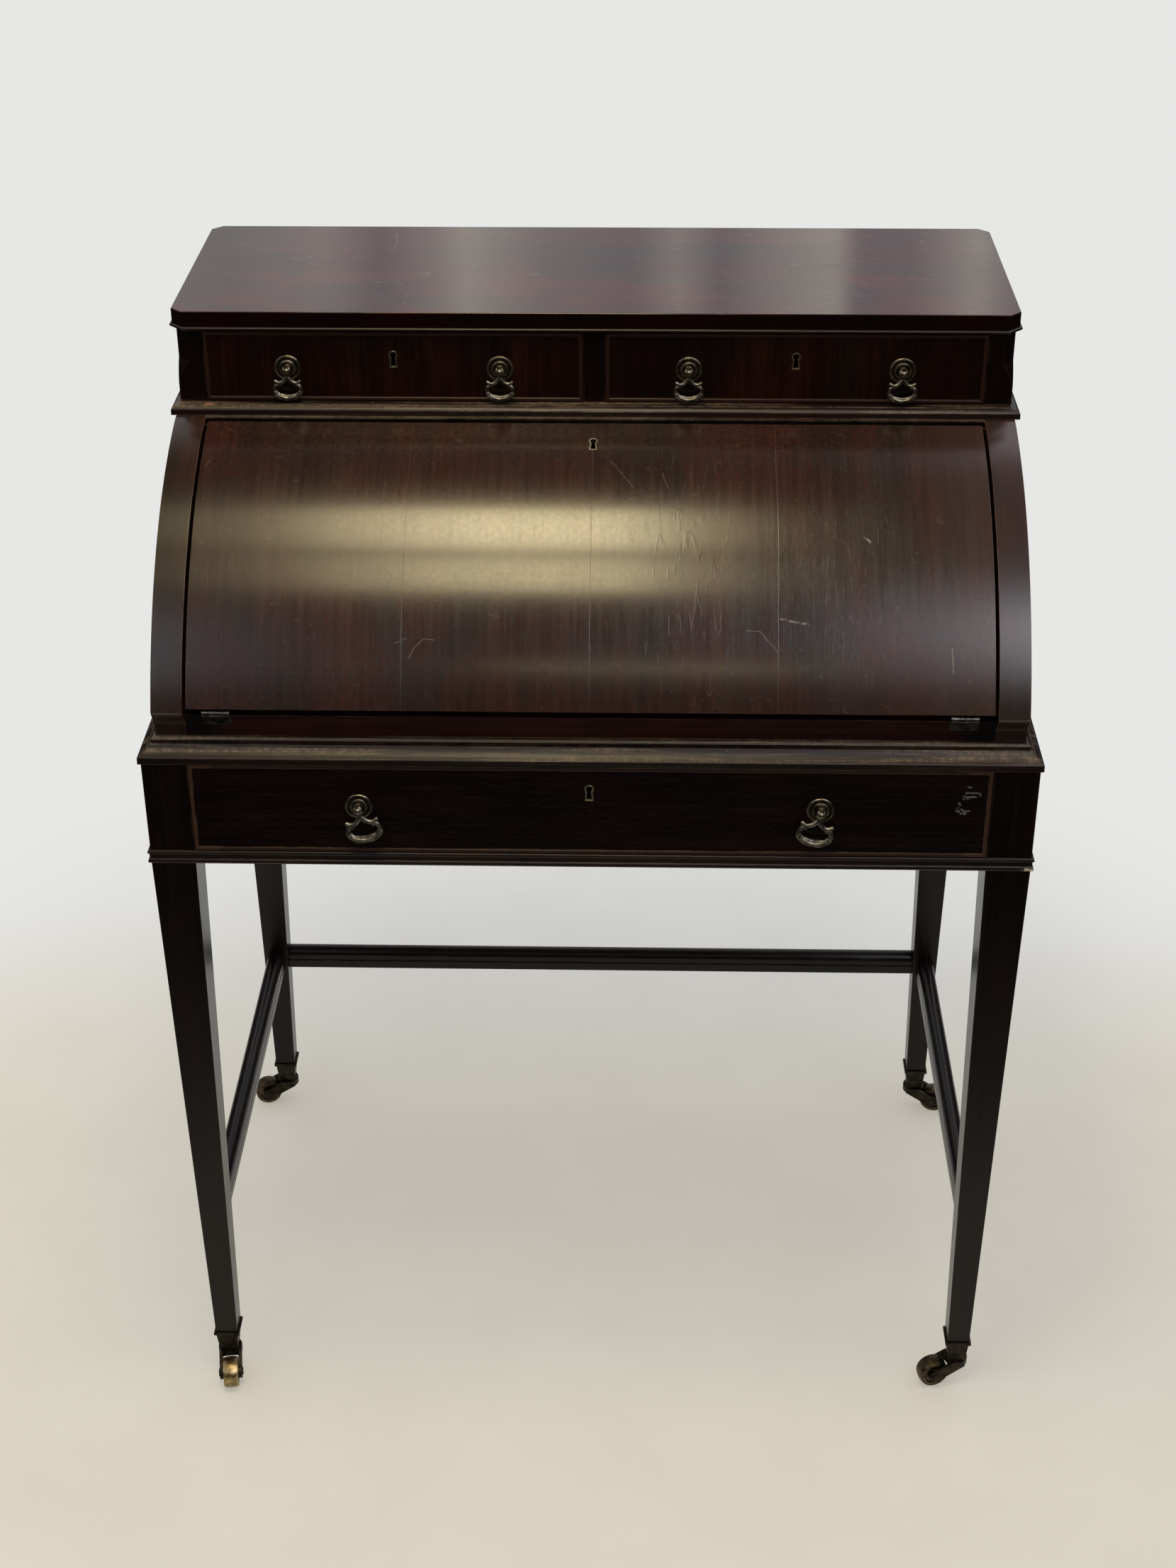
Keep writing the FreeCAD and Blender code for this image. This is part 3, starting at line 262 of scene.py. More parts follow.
    def hairs(self, vector, scale, width):
        """Mask of fine curved scratches: level lines of one noise, broken by another."""
        off = self.size(self.minus(self.noise(vector, scale=scale, detail=1.0), noise_middle))
        gate = self.span(self.noise(vector, scale=hair_break_scale * scale, detail=2.0), *hair_break_span)
        return self.times(self.fading(off, line_core * width, width), gate)

    def stroke(self, vector, points, width):
        """Mask of a drawn line through flat points, fading over its own width."""
        lines = []
        for (x0, y0), (x1, y1) in zip(points, points[1:]):
            run = Vector((x1 - x0, y1 - y0, 0.0))
            away = self.vector("SUBTRACT", vector, (x0, y0, 0.0))
            share = self.vector("DOT_PRODUCT", away, run / run.length_squared, "Value")
            share = self.add("ShaderNodeClamp", {0: share}).outputs[0]
            foot = self.add("ShaderNodeVectorMath", {0: run, "Scale": share}, operation="SCALE").outputs[0]
            off = self.vector("DISTANCE", away, foot, "Value")
            lines.append(self.fading(off, line_core * width, width))
        return self.most(*lines)

    def strokes(self, vector, lines):
        """Mask of several drawn lines, given in millimetres."""
        return self.most(*[self.stroke(vector, [(MM * x, MM * y) for x, y in points], MM * width)
                           for points, width in lines])

    def edges(self, radius, low, high):
        """Mask of the arrises, from how far a rounded normal turns away from the face."""
        rounded = self.add("ShaderNodeBevel", {"Radius": radius}, samples=edge_samples).outputs[0]
        flat = self.add("ShaderNodeNewGeometry").outputs["Normal"]
        turn = self.vector("DOT_PRODUCT", rounded, flat, "Value")
        return self.span(self.minus(1.0, turn), low, high)

    def cavity(self, reach):
        """How open a place is, from zero deep in a hollow of its own piece to one."""
        node = self.add("ShaderNodeAmbientOcclusion", {"Distance": reach}, samples=cavity_samples,
                        only_local=True)
        return node.outputs["AO"]

    def surface(self, colour, rough, height, height_distance, round_radius=0.0006, **settings):
        names = {"metallic": "Metallic", "ior": "IOR", "coat": "Coat Weight", "coat_rough": "Coat Roughness"}
        rounded = self.add("ShaderNodeBevel", {"Radius": round_radius}, samples=round_samples).outputs[0]
        bumped = self.add("ShaderNodeBump", {"Height": height, "Distance": height_distance, "Strength": 1.0,
                                             "Normal": rounded}).outputs[0]
        inputs = {"Base Color": colour, "Roughness": rough, "Normal": bumped}
        inputs.update({names[key]: value for key, value in settings.items()})
        shader = self.add("ShaderNodeBsdfPrincipled", inputs)
        self.feed(self.add("ShaderNodeOutputMaterial").inputs["Surface"], shader.outputs[0])
        return self.material


# Wood: repeats per metre across and along the grain, of its fibre and of its clouds of red and olive
fibre_repeats = (210.0, 7.0)
cloud_repeats = (19.0, 7.0)
# Grains that run one way on most faces and another way on the faces that look sideways
TWO_WAYS = {"board": ("x", "y"), "cheek": ("arc", "z")}
sideways_from = 0.6


def stretched(s, place, grain, repeats):
    across, along = repeats
    scale = {"x": (along, across, across), "y": (across, along, across), "z": (across, across, along),
             "arc": (across, along, along)}
    return s.scaled(place, scale[grain])


def grain_vector(s, place, grain, repeats=fibre_repeats):
    """Object place stretched along the grain."""
    if grain not in TWO_WAYS:
        return stretched(s, place, grain, repeats)
    ahead, aside = TWO_WAYS[grain]
    sideways = s.math("GREATER_THAN", s.size(s.facing()[0]), sideways_from)
    return s.mix_vector(sideways, stretched(s, place, ahead, repeats), stretched(s, place, aside, repeats))


# Noises of the wood, and where each one shows
FIBRE = {"detail": 9.0, "rough": 0.66, "distortion": 0.35}
FIGURE = {"detail": 3.0, "distortion": 1.2}
CLOUD = {"scale": 9.0, "detail": 3.0}
HUE = {"detail": 4.0, "distortion": 0.4}
PORE = {"detail": 2.0}
RUB = {"scale": 55.0, "detail": 4.0, "rough": 0.65}
cloud_span = (0.35, 0.70, 0.0, 0.45)
hue_span = (0.40, 0.60)
pore_span = (0.60, 0.70)
rub_span = (0.36, 0.62)
streak_span = (0.38, 0.62)
# Repeats of figure and pores against the fibre's, and how much of the tone comes from fibre and figure
figure_scale = (0.06, 0.06, 0.06)
pore_scale = (6.0, 6.0, 6.0)
fibre_share, figure_share = 0.55, 0.45
olive = (0.74, 0.94, 0.96, 1.0)
russet = (1.36, 0.92, 0.80, 1.0)
pore_shade = 0.3
# Paler arrises, worn and on some woods a painted highlight: how far they reach, and the turns of the normal
# where they start and are whole
wood_edge = (0.0016, 0.02, 0.22)
fibre_height, pore_depth = 0.35, 0.5
cloud_roughness = 0.12


def wood(name, tones, grain, rough=0.30, wear=0.5, worn_and_highlight_tone=(0.110, 0.062, 0.037), pores=0.5, mottle=0.6,
         spread=0.15, streak=0.0, bump=0.00009, relief=1.0, marks=(), **finish):
    """Polished timber: streaked fibre, soft figure, coloured clouds, open pores, arrises paler by wear and
    painted highlight, and marks.
    """
    s = Shader(name)
    place = s.place()
    run = grain_vector(s, place, grain)
    fibre = s.noise(run, **FIBRE)
    figure = s.noise(s.scaled(run, figure_scale), **FIGURE)
    cloud = s.noise(place, **CLOUD)
    hue = s.noise(grain_vector(s, place, grain, cloud_repeats), **HUE)
    pore = s.span(s.noise(s.scaled(run, pore_scale), **PORE), *pore_span)
    value = s.plus(s.times(fibre, fibre_share), s.times(figure, figure_share))
    dark, middle, light = tones
    stops = [(noise_middle - spread, dark), (noise_middle, middle), (noise_middle + spread, light)]
    colour = s.mix(s.span(cloud, *cloud_span), s.ramp(value, stops), opaque(dark))
    colour = s.mix(mottle, colour, s.mix(s.span(hue, *hue_span), olive, russet), "MULTIPLY")
    colour = s.mix(s.times(pore, pores), colour, opaque(dark, pore_shade))
    edge = s.times(s.edges(*wood_edge), s.span(s.noise(place, **RUB), *rub_span))
    colour = s.mix(s.times(edge, wear), colour, opaque(worn_and_highlight_tone))
    height = s.minus(s.times(fibre, fibre_height * relief), s.times(pore, pore_depth * relief))
    shine = s.plus(s.times(cloud, cloud_roughness), rough - cloud_roughness / 2)
    if streak:
        shine = s.plus(shine, s.span(fibre, *streak_span, -streak, streak))
    for mark in marks:
        colour, shine, height = mark(s, place, colour, shine, height)
    return s.surface(colour, shine, height, bump, **finish)


bead_strength = 0.85


def cockbead_mark(front, side_tone, run_tone, middle, half):
    """Bead tones where the drawer's edge stands in front of its face: one at its ends, one along it."""
    def mark(s, place, colour, shine, height):
        x, y = s.axes(place)[:2]
        bead = s.times(s.math("LESS_THAN", y, front), bead_strength)
        end = s.math("GREATER_THAN", s.size(s.minus(s.size(x), middle)), half)
        return s.mix(bead, colour, s.mix(end, opaque(run_tone), opaque(side_tone))), shine, height
    return mark


# Turns of a face toward upward where it starts to count as upward, and where it wholly does
upward_span = (0.3, 0.7)


def painted_side_shade_mark(share):
    """Painted shade: faces that don't look upward are made darker."""
    def mark(s, place, colour, shine, height):
        return s.shaded(colour, s.span(s.facing()[2], *upward_span, share, 1.0)), shine, height
    return mark


# Painted shadow at a rail's ends: its strength, and how much rougher it makes the rail there
end_shadow_strength = 0.85
end_shadow_roughness = 0.2


def painted_end_shadow_mark(low, high, tone):
    """Painted shadow toward both ends of a rail, where the cheeks shade it."""
    def mark(s, place, colour, shine, height):
        end = s.span(s.size(s.axes(place)[0]), low, high, 0.0, end_shadow_strength)
        return s.mix(end, colour, opaque(tone)), s.plus(shine, s.times(end, end_shadow_roughness)), height
    return mark


# Paler streaks on mouldings, part rubbed wear and part painted highlight: their streaks, the grit in them,
# the specks, and which way a face looks
RUB_STREAK = {"detail": 6.0, "rough": 0.62}
rub_streak_scale = (0.55, 0.55, 0.55)
rub_streak_shift = (7.0, 5.0, 1.0)
rub_streak_span = (0.46, 0.62)
RUB_GRIT = {"scale": 230.0, "detail": 4.0, "rough": 0.7}
rub_grit_span = (0.40, 0.62, 0.35, 1.0)
rub_specks = {"scale": 130.0, "reach": 0.16, "share": 0.10}
rub_and_highlight_upward_span = (-0.15, 0.55)
rub_roughness = 0.12


def rubbed_and_highlight_mark(grain, tone, amount):
    """Paler streaks along the run on the upward faces of a moulding: part rubbed wear, part painted
    highlight.
    """
    def mark(s, place, colour, shine, height):
        run = s.scaled(grain_vector(s, place, grain), rub_streak_scale, rub_streak_shift)
        streaks = s.span(s.noise(run, **RUB_STREAK), *rub_streak_span)
        grit = s.span(s.noise(place, **RUB_GRIT), *rub_grit_span)
        streaks = s.most(s.times(streaks, grit), s.specks(place, **rub_specks))
        # Only upward faces take the streaks, as a painted highlight
        upward = s.span(s.facing()[2], *rub_and_highlight_upward_span)
        rub = s.times(streaks, s.times(upward, amount))
        return s.mix(rub, colour, opaque(tone)), s.plus(shine, s.times(rub, rub_roughness)), height
    return mark


# Drawn marks are lines through points in millimetres, each with its width
TOP_SCRATCHES = [([(-202, 238), (-200, 208), (-201, 181)], 0.9), ([(-278, 148), (-267, 140)], 1.0),
                 ([(-283, 164), (-277, 174), (-262, 172)], 0.9), ([(-232, 170), (-220, 175)], 0.9),
                 ([(-343, 182), (-322, 187)], 0.8)]
top_ragged = {"scale": 300.0, "low": 0.36, "high": 0.56}
top_hairs = {"scale": 34.0, "width": 0.010}
top_hair_share = 0.5
top_specks = {"scale": 45.0, "reach": 0.030, "share": 0.22}
top_scratch_strength = 0.30
top_scratch_tone = (0.26, 0.23, 0.21)


def scratched_top_mark(s, place, colour, shine, height):
    """Faint scratches, hairs and specks in the polish of the top."""
    flat = s.joined(*s.axes(place)[:2])
    scratch = s.times(s.strokes(flat, TOP_SCRATCHES), s.ragged(place, **top_ragged))
    hair = s.times(s.hairs(flat, **top_hairs), top_hair_share)
    line = s.most(scratch, hair, s.specks(flat, **top_specks))
    upward = s.span(s.facing()[2], *upward_span, 0.0, top_scratch_strength)
    return s.mix(s.times(line, upward), colour, opaque(top_scratch_tone)), shine, height


# The fall's surface is measured in x and in arc length about the middle of its curve, given by y and z
fall_centre = (0.07047, 0.65676)
fall_radius = 0.343


def fall_arc(s, y, z):
    rise = s.minus(z, fall_centre[1])
    reach = s.minus(fall_centre[0], y)
    return s.times(s.math("ARCTAN2", rise, reach), fall_radius)


# Crazing: cells stretched along the grain, bent by one noise and broken by another,
# in zones given by low x, high x and share
FALL_WARP = {"scale": 75.0, "detail": 3.0, "rough": 0.5}
craze_bend = (0.0042, 0.009, 0.0)
craze_stretch = (1.0, 0.15, 1.0)
craze_scale = 100.0
CRAZE_BREAK = {"scale": 85.0, "low": 0.48, "high": 0.58}
craze_break_stretch = (1.0, 0.45, 1.0)
craze_break_shift = (0.3, 0.1, 0.0)
craze_zones = [(0.050, 0.120, 1.0), (0.195, 0.275, 0.4)]
zone_soft = 0.02
# Stray cracks outside the zones, which end toward the bleached right end
STRAY = {"scale": 6.0, "detail": 2.0}
stray_span = (0.48, 0.68, 0.0, 0.3)
stray_end = (0.26, 0.30)
crack_width, ridge_width = 0.020, 0.10
crack_strength, crack_tone = 0.45, (0.0045, 0.0030, 0.0022)
bleached_span = (0.27, 0.37, 0.0, 0.55)
bleached_tone = (0.046, 0.021, 0.0125)


def crazing(s, x, flat, warp):
    """Masks of the fall's cracks, and of the lips that curl up along those in its crazed zones."""
    bent = s.shaken(flat, warp, craze_bend)
    edge = s.cells(s.scaled(bent, craze_stretch), craze_scale)
    broken = s.ragged(s.scaled(flat, craze_break_stretch, craze_break_shift), **CRAZE_BREAK)
    zone = s.most(*[s.times(s.within(x, low, high, zone_soft), share) for low, high, share in craze_zones])
    stray = s.times(s.span(s.noise(flat, **STRAY), *stray_span), s.fading(x, *stray_end))
    crack = s.times(s.fading(edge, 0.0, crack_width), s.times(broken, s.most(zone, stray)))
    return crack, s.times(s.fading(edge, 0.0, ridge_width), s.times(broken, zone))


# Joints between the leaves of veneer, by x, which waver a little
veneer_joints = (-0.1677, 0.0, 0.1677)
SEAM_WAVER = {"scale": 11.0, "detail": 2.0}
seam_waver = 0.002
seam_line = (0.0001, 0.0005)
seam_strength, seam_tone = 0.20, (0.085, 0.050, 0.030)


def veneer_seams(s, x, flat):
    waver = s.times(s.noise(flat, **SEAM_WAVER), seam_waver)
    offs = [s.size(s.minus(s.plus(x, waver), joint + seam_waver / 2)) for joint in veneer_joints]
    return s.most(*[s.fading(off, *seam_line) for off in offs])


# Scuffs and scratches of the fall, shaken a little and ragged
FALL_SCUFFS = [([(169, 238), (177, 237), (194, 234)], 1.3), ([(244, 318), (251, 311)], 1.5),
               ([(321, 213), (322, 191)], 0.8)]
FALL_SCRATCHES = [([(16, 401), (27, 385), (37, 369)], 0.5), ([(64, 386), (69, 367)], 0.5),
                  ([(140, 228), (151, 227), (159, 218), (167, 208)], 0.8), ([(83, 359), (96, 362)], 0.5),
                  ([(-161, 200), (-157, 209), (-148, 218), (-139, 217)], 0.7),
                  ([(-174, 214), (-162, 219)], 0.6)]
fall_shake = (0.0024, 0.0024, 0.0)
fall_shake_middle = (0.0012, 0.0012, 0.0)
fall_ragged = {"scale": 260.0, "low": 0.38, "high": 0.58}
fall_scratch_span = (0.0, 0.4, 0.15, 0.45)


def fall_scuffs(s, flat, warp):
    shaky = s.vector("SUBTRACT", s.shaken(flat, warp, fall_shake), fall_shake_middle)
    ragged = s.ragged(flat, **fall_ragged)
    scratch = s.times(s.strokes(shaky, FALL_SCRATCHES), s.span(ragged, *fall_scratch_span))
    return s.most(s.times(s.strokes(shaky, FALL_SCUFFS), ragged), scratch)


# Hairs and specks in the fall's polish, pits in patches of it, and the fine mottling of its old hide
fall_hairs = {"scale": 48.0, "width": 0.012}
fall_hair_share = 0.20
fall_specks = {"scale": 62.0, "reach": 0.036, "share": 0.16}
fall_pits = {"scale": 230.0, "reach": 0.13, "share": 0.20}
PIT_PATCH = {"scale": 9.0, "detail": 2.0}
pit_patch_span = (0.50, 0.60)
HIDE = {"scale": 210.0, "detail": 6.0, "rough": 0.68}
hide_level_span = (0.32, 0.68, 0.55, 1.45)
hide_shine_span = (0.35, 0.65, 0.025, -0.025)
scuff_gain, scuff_strength = 1.5, 0.42
scuff_tone = (0.20, 0.165, 0.125)
scuff_roughness, pit_roughness = 0.15, 0.20
hide_height, ridge_height = 0.45, 0.4
crack_depth, pit_depth = 0.5, 0.8


def crackle_mark(s, place, colour, shine, height):
    """The fall's crazed polish, its hairs, specks, pits and scuffs, and the joints between its veneers."""
    x, y, z = s.axes(place)
    arc = fall_arc(s, y, z)
    flat = s.joined(x, arc)
    warp = s.noise(flat, output="Color", **FALL_WARP)
    crack, ridge = crazing(s, x, flat, warp)
    seam = veneer_seams(s, x, flat)
    scuff = fall_scuffs(s, flat, warp)
    pale = s.most(s.times(s.hairs(flat, **fall_hairs), fall_hair_share), s.specks(flat, **fall_specks))
    patch = s.span(s.noise(flat, **PIT_PATCH), *pit_patch_span)
    pit = s.times(s.specks(s.joined(arc, x), **fall_pits), patch)
    hide = s.noise(flat, **HIDE)
    colour = s.shaded(colour, s.span(hide, *hide_level_span))
    colour = s.mix(s.span(x, *bleached_span), colour, opaque(bleached_tone))
    colour = s.mix(s.times(crack, crack_strength), colour, opaque(crack_tone))
    colour = s.mix(s.times(seam, seam_strength), colour, opaque(seam_tone))
    scraped = s.times(s.most(s.times(scuff, scuff_gain), pale), scuff_strength)
    colour = s.mix(scraped, colour, opaque(scuff_tone))
    shine = s.plus(shine, s.span(hide, *hide_shine_span))
    shine = s.plus(shine, s.times(s.most(crack, scuff), scuff_roughness))
    shine = s.plus(shine, s.times(pit, pit_roughness))
    height = s.plus(height, s.times(hide, hide_height))
    dent = s.plus(s.times(s.most(crack, seam), crack_depth), s.times(ridge, -ridge_height))
    return colour, shine, s.minus(height, s.plus(dent, s.times(pit, pit_depth)))


DRAWER_SCUFFS = [([(339, 730), (352, 730)], 1.2), ([(337, 726), (348, 726)], 1.6),
                 ([(337, 724), (342, 724)], 1.2), ([(340, 736), (343, 736)], 1.4),
                 ([(333, 719), (334, 718)], 1.8), ([(333, 712), (338, 709)], 3.6),
                 ([(335, 712), (343, 711)], 1.0), ([(351, 730), (352, 727)], 1.6)]
drawer_ragged = {"scale": 420.0, "low": 0.42, "high": 0.56}
drawer_scuff_strength = 0.7
drawer_scuff_tone = (0.165, 0.150, 0.130)


def drawer_scuff_mark(s, place, colour, shine, height):
    """Scrapes through the polish at the long drawer's right end."""
    axes = s.axes(place)
    flat = s.joined(axes[0], axes[2])
    scuff = s.times(s.strokes(flat, DRAWER_SCUFFS), s.ragged(flat, **drawer_ragged))
    return s.mix(s.times(scuff, drawer_scuff_strength), colour, opaque(drawer_scuff_tone)), shine, height


CHIP = {"scale": 420.0, "detail": 4.0, "rough": 0.7}
chip_gain = 1.7
chip_rim = (1.55, 1.75)
chip_roughness, chip_depth = 0.3, 3.0


def chip_mark(middle, reach, tone):
    """Bare wood where a moulding has lost a splinter."""
    def mark(s, place, colour, shine, height):
        off = s.vector("MULTIPLY", s.vector("SUBTRACT", place, middle), tuple(1.0 / r for r in reach))
        bare = s.fading(s.plus(s.length(off), s.times(s.noise(place, **CHIP), chip_gain)), *chip_rim)
        shine = s.plus(shine, s.times(bare, chip_roughness))
        return s.mix(bare, colour, opaque(tone)), shine, s.minus(height, s.times(bare, chip_depth))
    return mark


# Dark, middle and light tones of each wood
DARK = ((0.0036, 0.0013, 0.0010), (0.0082, 0.0028, 0.0019), (0.0165, 0.0056, 0.0036))
DRAWER = ((0.0030, 0.0008, 0.0005), (0.0092, 0.0025, 0.0014), (0.0230, 0.0070, 0.0034))
FALL = ((0.0100, 0.0038, 0.0024), (0.0225, 0.0082, 0.0046), (0.0400, 0.0150, 0.0080))
CHEEK = ((0.0105, 0.0046, 0.0030), (0.0240, 0.0105, 0.0062), (0.0420, 0.0185, 0.0108))
TOP = ((0.0150, 0.0045, 0.0042), (0.0360, 0.0092, 0.0080), (0.0580, 0.0155, 0.0125))
RED = ((0.0070, 0.0016, 0.0009), (0.0175, 0.0040, 0.0022), (0.0290, 0.0075, 0.0040))
LONG = ((0.0022, 0.0008, 0.0006), (0.0052, 0.0017, 0.0011), (0.0105, 0.0034, 0.0021))
LEG = ((0.0022, 0.0010, 0.0007), (0.0050, 0.0023, 0.0014), (0.0100, 0.0047, 0.0029))
INSIDE = ((0.040, 0.0145, 0.0080), (0.085, 0.032, 0.0175), (0.130, 0.055, 0.031))
LINING = ((0.110, 0.058, 0.029), (0.180, 0.103, 0.056), (0.255, 0.155, 0.090))

# Marks of single pieces
waist_chip = chip_mark(middle=(-0.360, 0.0, 1.000), reach=(0.0065, 0.0024, 0.0018), tone=(0.26, 0.13, 0.072))
bead_chip = chip_mark(middle=(0.4015, -0.2455, 0.650), reach=(0.008, 0.006, 0.003), tone=(0.40, 0.31, 0.23))
# Mouldings' upward faces get paler streaks, part wear and part painted highlight
rubbed_and_highlit_board = rubbed_and_highlight_mark("board", tone=(0.150, 0.106, 0.068), amount=0.85)
# The cheeks' shadow, painted on both ends of the hinge rail
rail_end_shadows = painted_end_shadow_mark(low=0.318, high=0.346, tone=(0.0012, 0.0007, 0.0005))
small_bead_tone = (0.026, 0.010, 0.007)
small_bead = cockbead_mark(front=0.0087, side_tone=small_bead_tone, run_tone=small_bead_tone,
                           middle=0.18675, half=0.160)
long_bead = cockbead_mark(front=-0.2458, side_tone=(0.048, 0.021, 0.011), run_tone=(0.026, 0.011, 0.007),
                          middle=0.0, half=0.340)

moulding = wood("mahogany_moulding", DARK, "board", rough=0.38, wear=0.7, ior=1.38, marks=[rubbed_and_highlit_board])
# The sub-top's bead: its pale arrises are part wear, part painted highlight
worn_and_highlit_bead = wood("mahogany_worn_bead", DARK, "board", rough=0.34, wear=1.0, worn_and_highlight_tone=(0.26, 0.19, 0.135),
                 ior=1.45)
waist_wood = wood("mahogany_waist", DARK, "board", rough=0.36, wear=0.9, worn_and_highlight_tone=(0.16, 0.105, 0.066), ior=1.42,
                  marks=[rubbed_and_highlit_board, waist_chip])
# The base bead: its pale arrises are part wear, part painted highlight
bead_wood = wood("mahogany_bead", DARK, "board", rough=0.36, wear=0.9, worn_and_highlight_tone=(0.150, 0.088, 0.054), ior=1.38,
                 marks=[bead_chip])
# The top board's faces that don't look upward get painted shade
polished_top = wood("mahogany_top", TOP, "x", rough=0.065, wear=0.35, pores=0.3, mottle=1.0, spread=0.20,
                    bump=0.00002, ior=1.5, marks=[scratched_top_mark, painted_side_shade_mark(share=0.12)])
cheek_wood = wood("mahogany_cheek", CHEEK, "cheek", rough=0.22, wear=0.8, worn_and_highlight_tone=(0.17, 0.075, 0.040),
                  mottle=0.65, spread=0.18, relief=0.2, ior=1.5, coat=0.45, coat_rough=0.16)
fall_wood = wood("mahogany_fall", FALL, "arc", rough=0.23, wear=0.5, mottle=0.7, spread=0.32, streak=0.015,
                 relief=0.2, marks=[crackle_mark], ior=1.5, coat=0.28, coat_rough=0.14)
small_front = wood("mahogany_small_drawer", DRAWER, "z", rough=0.28, wear=0.4, mottle=1.0, spread=0.22,
                   ior=1.34, marks=[small_bead])
# The long drawer: its pale arrises are part wear, part painted highlight
long_front = wood("mahogany_long_drawer", LONG, "x", rough=0.28, wear=0.8, worn_and_highlight_tone=(0.20, 0.125, 0.080),
                  ior=1.30, marks=[long_bead, drawer_scuff_mark])
upright_wood = wood("mahogany_upright", LONG, "z", rough=0.26, wear=0.6, ior=1.30)
leg_wood = wood("mahogany_leg", LEG, "z", rough=0.26, wear=0.6, ior=1.32)
rail_wood = wood("mahogany_rail", LEG, "board", rough=0.28, wear=0.6, ior=1.34)
red_wood = wood("mahogany_red", RED, "x", rough=0.30, wear=0.5, ior=1.36, marks=[rail_end_shadows])
inside_wood = wood("mahogany_inside", INSIDE, "board", rough=0.42, wear=0.3, ior=1.4)
lining_wood = wood("lining_wood", LINING, "board", rough=0.62, wear=0.3, worn_and_highlight_tone=(0.32, 0.21, 0.135), mottle=0.3,
                   ior=1.3)


# Keyholes of the three drawers, x and z, the reach of the pale brass round them, and its whole share
drawer_keys = [(-0.18675, 1.0419), (0.18675, 1.0419), (0.0, 0.7264)]
key_reach = 0.014
key_core = 0.8
# Faces that they are cut through: y of the small drawers and of the long one, and a height between them
small_face, long_face, between_faces = 0.009, -0.2455, 0.90
# Brass that lies this far behind its face is painted dark with shade
sunk_depth = 0.0018
sunk_shade_strength, sunk_shade_tone = 0.9, (0.008, 0.006, 0.004)


def flat_distance(s, place, middle):
    """How far a place lies from a middle, both seen from the front."""
    axes = s.axes(place)
    return s.vector("DISTANCE", s.joined(axes[0], axes[2]), (*middle, 0.0), "Value")


def sunk_behind_drawer(s, place):
    y, z = s.axes(place)[1:]
    face = s.mix_value(s.math("GREATER_THAN", z, between_faces), long_face, small_face)
    return s.math("GREATER_THAN", s.minus(y, face), sunk_depth)


def sunk_behind_fall(s, place):
    y, z = s.axes(place)[1:]
    out = s.length(s.vector("SUBTRACT", s.joined(0.0, y, z), (0.0, *fall_centre)))
    return s.math("LESS_THAN", out, fall_radius - sunk_depth)


# The rosettes' middles, x and z, from the pins of their bails, and the radii of two rings of painted shade: a
# groove, and the ball's shadow round its foot
bail_joints = [joint for joint in frame["joints"] if joint["child"].endswith("_bail")]
rosettes = [(joint["pos_m"][0], joint["pos_m"][2]) for joint in bail_joints]
rosette_radii = [(0.0079, 0.0102), (0.0046, 0.0057)]
groove_soft = 0.0004
groove_shade_strength, groove_shade = 0.8, 0.2


def rosette_groove_shade(s, place):
    away = s.least(*[flat_distance(s, place, middle) for middle in rosettes])
    return s.most(*[s.within(away, low, high, groove_soft) for low, high in rosette_radii])


# Brass: its clouds and specks, its rubbed arrises, as for wood, and its hollows
BRASS_CLOUD = {"scale": 140.0, "detail": 5.0, "rough": 0.65}
BRASS_SPECK = {"scale": 900.0, "detail": 3.0}
brass_cloud_span = (0.35, 0.68)
brass_speck_span = (0.60, 0.70, 0.0, 0.6)
brass_speck_shade = 0.35
brass_edge = (0.0007, 0.03, 0.30)
brass_edge_gain = 1.7
hollow_reach = 0.0022
hollow_span = (0.45, 0.90, 0.75, 0.0)
hollow_shade = 0.25
brass_roughness = 0.2
brass_bump, brass_round = 0.00004, 0.0003


def brass(name, dull, bright, rough, wear, key_tone=None, sunk_shade_mask=None, groove_shade_mask=None):
    """Aged brass: patina in clouds and specks, bright where it is rubbed, dark in hollows, and painted shade
    where sunk.
    """
    s = Shader(name)
    place = s.place()
    cloud = s.noise(place, **BRASS_CLOUD)
    speck = s.noise(place, **BRASS_SPECK)
    colour = s.mix(s.span(cloud, *brass_cloud_span), opaque(dull), opaque(bright))
    if key_tone:
        for middle in drawer_keys:
            near = s.fading(flat_distance(s, place, middle), key_core * key_reach, key_reach)
            colour = s.mix(near, colour, opaque(key_tone))
    colour = s.mix(s.span(speck, *brass_speck_span), colour, opaque(dull, brass_speck_shade))
    colour = s.mix(s.times(s.edges(*brass_edge), wear), colour, opaque(bright, brass_edge_gain))
    colour = s.mix(s.span(s.cavity(hollow_reach), *hollow_span), colour, opaque(dull, hollow_shade))
    # Painted shade on brass sunk behind its face
    if sunk_shade_mask:
        colour = s.mix(s.times(sunk_shade_mask(s, place), sunk_shade_strength), colour, opaque(sunk_shade_tone))
    # Painted shade in the rosettes' grooves and round the foot of their balls
    if groove_shade_mask:
        colour = s.mix(s.times(groove_shade_mask(s, place), groove_shade_strength), colour, opaque(dull, groove_shade))
    shine = s.plus(s.times(cloud, brass_roughness), rough - brass_roughness / 2)
    return s.surface(colour, shine, speck, brass_bump, brass_round, metallic=1.0)


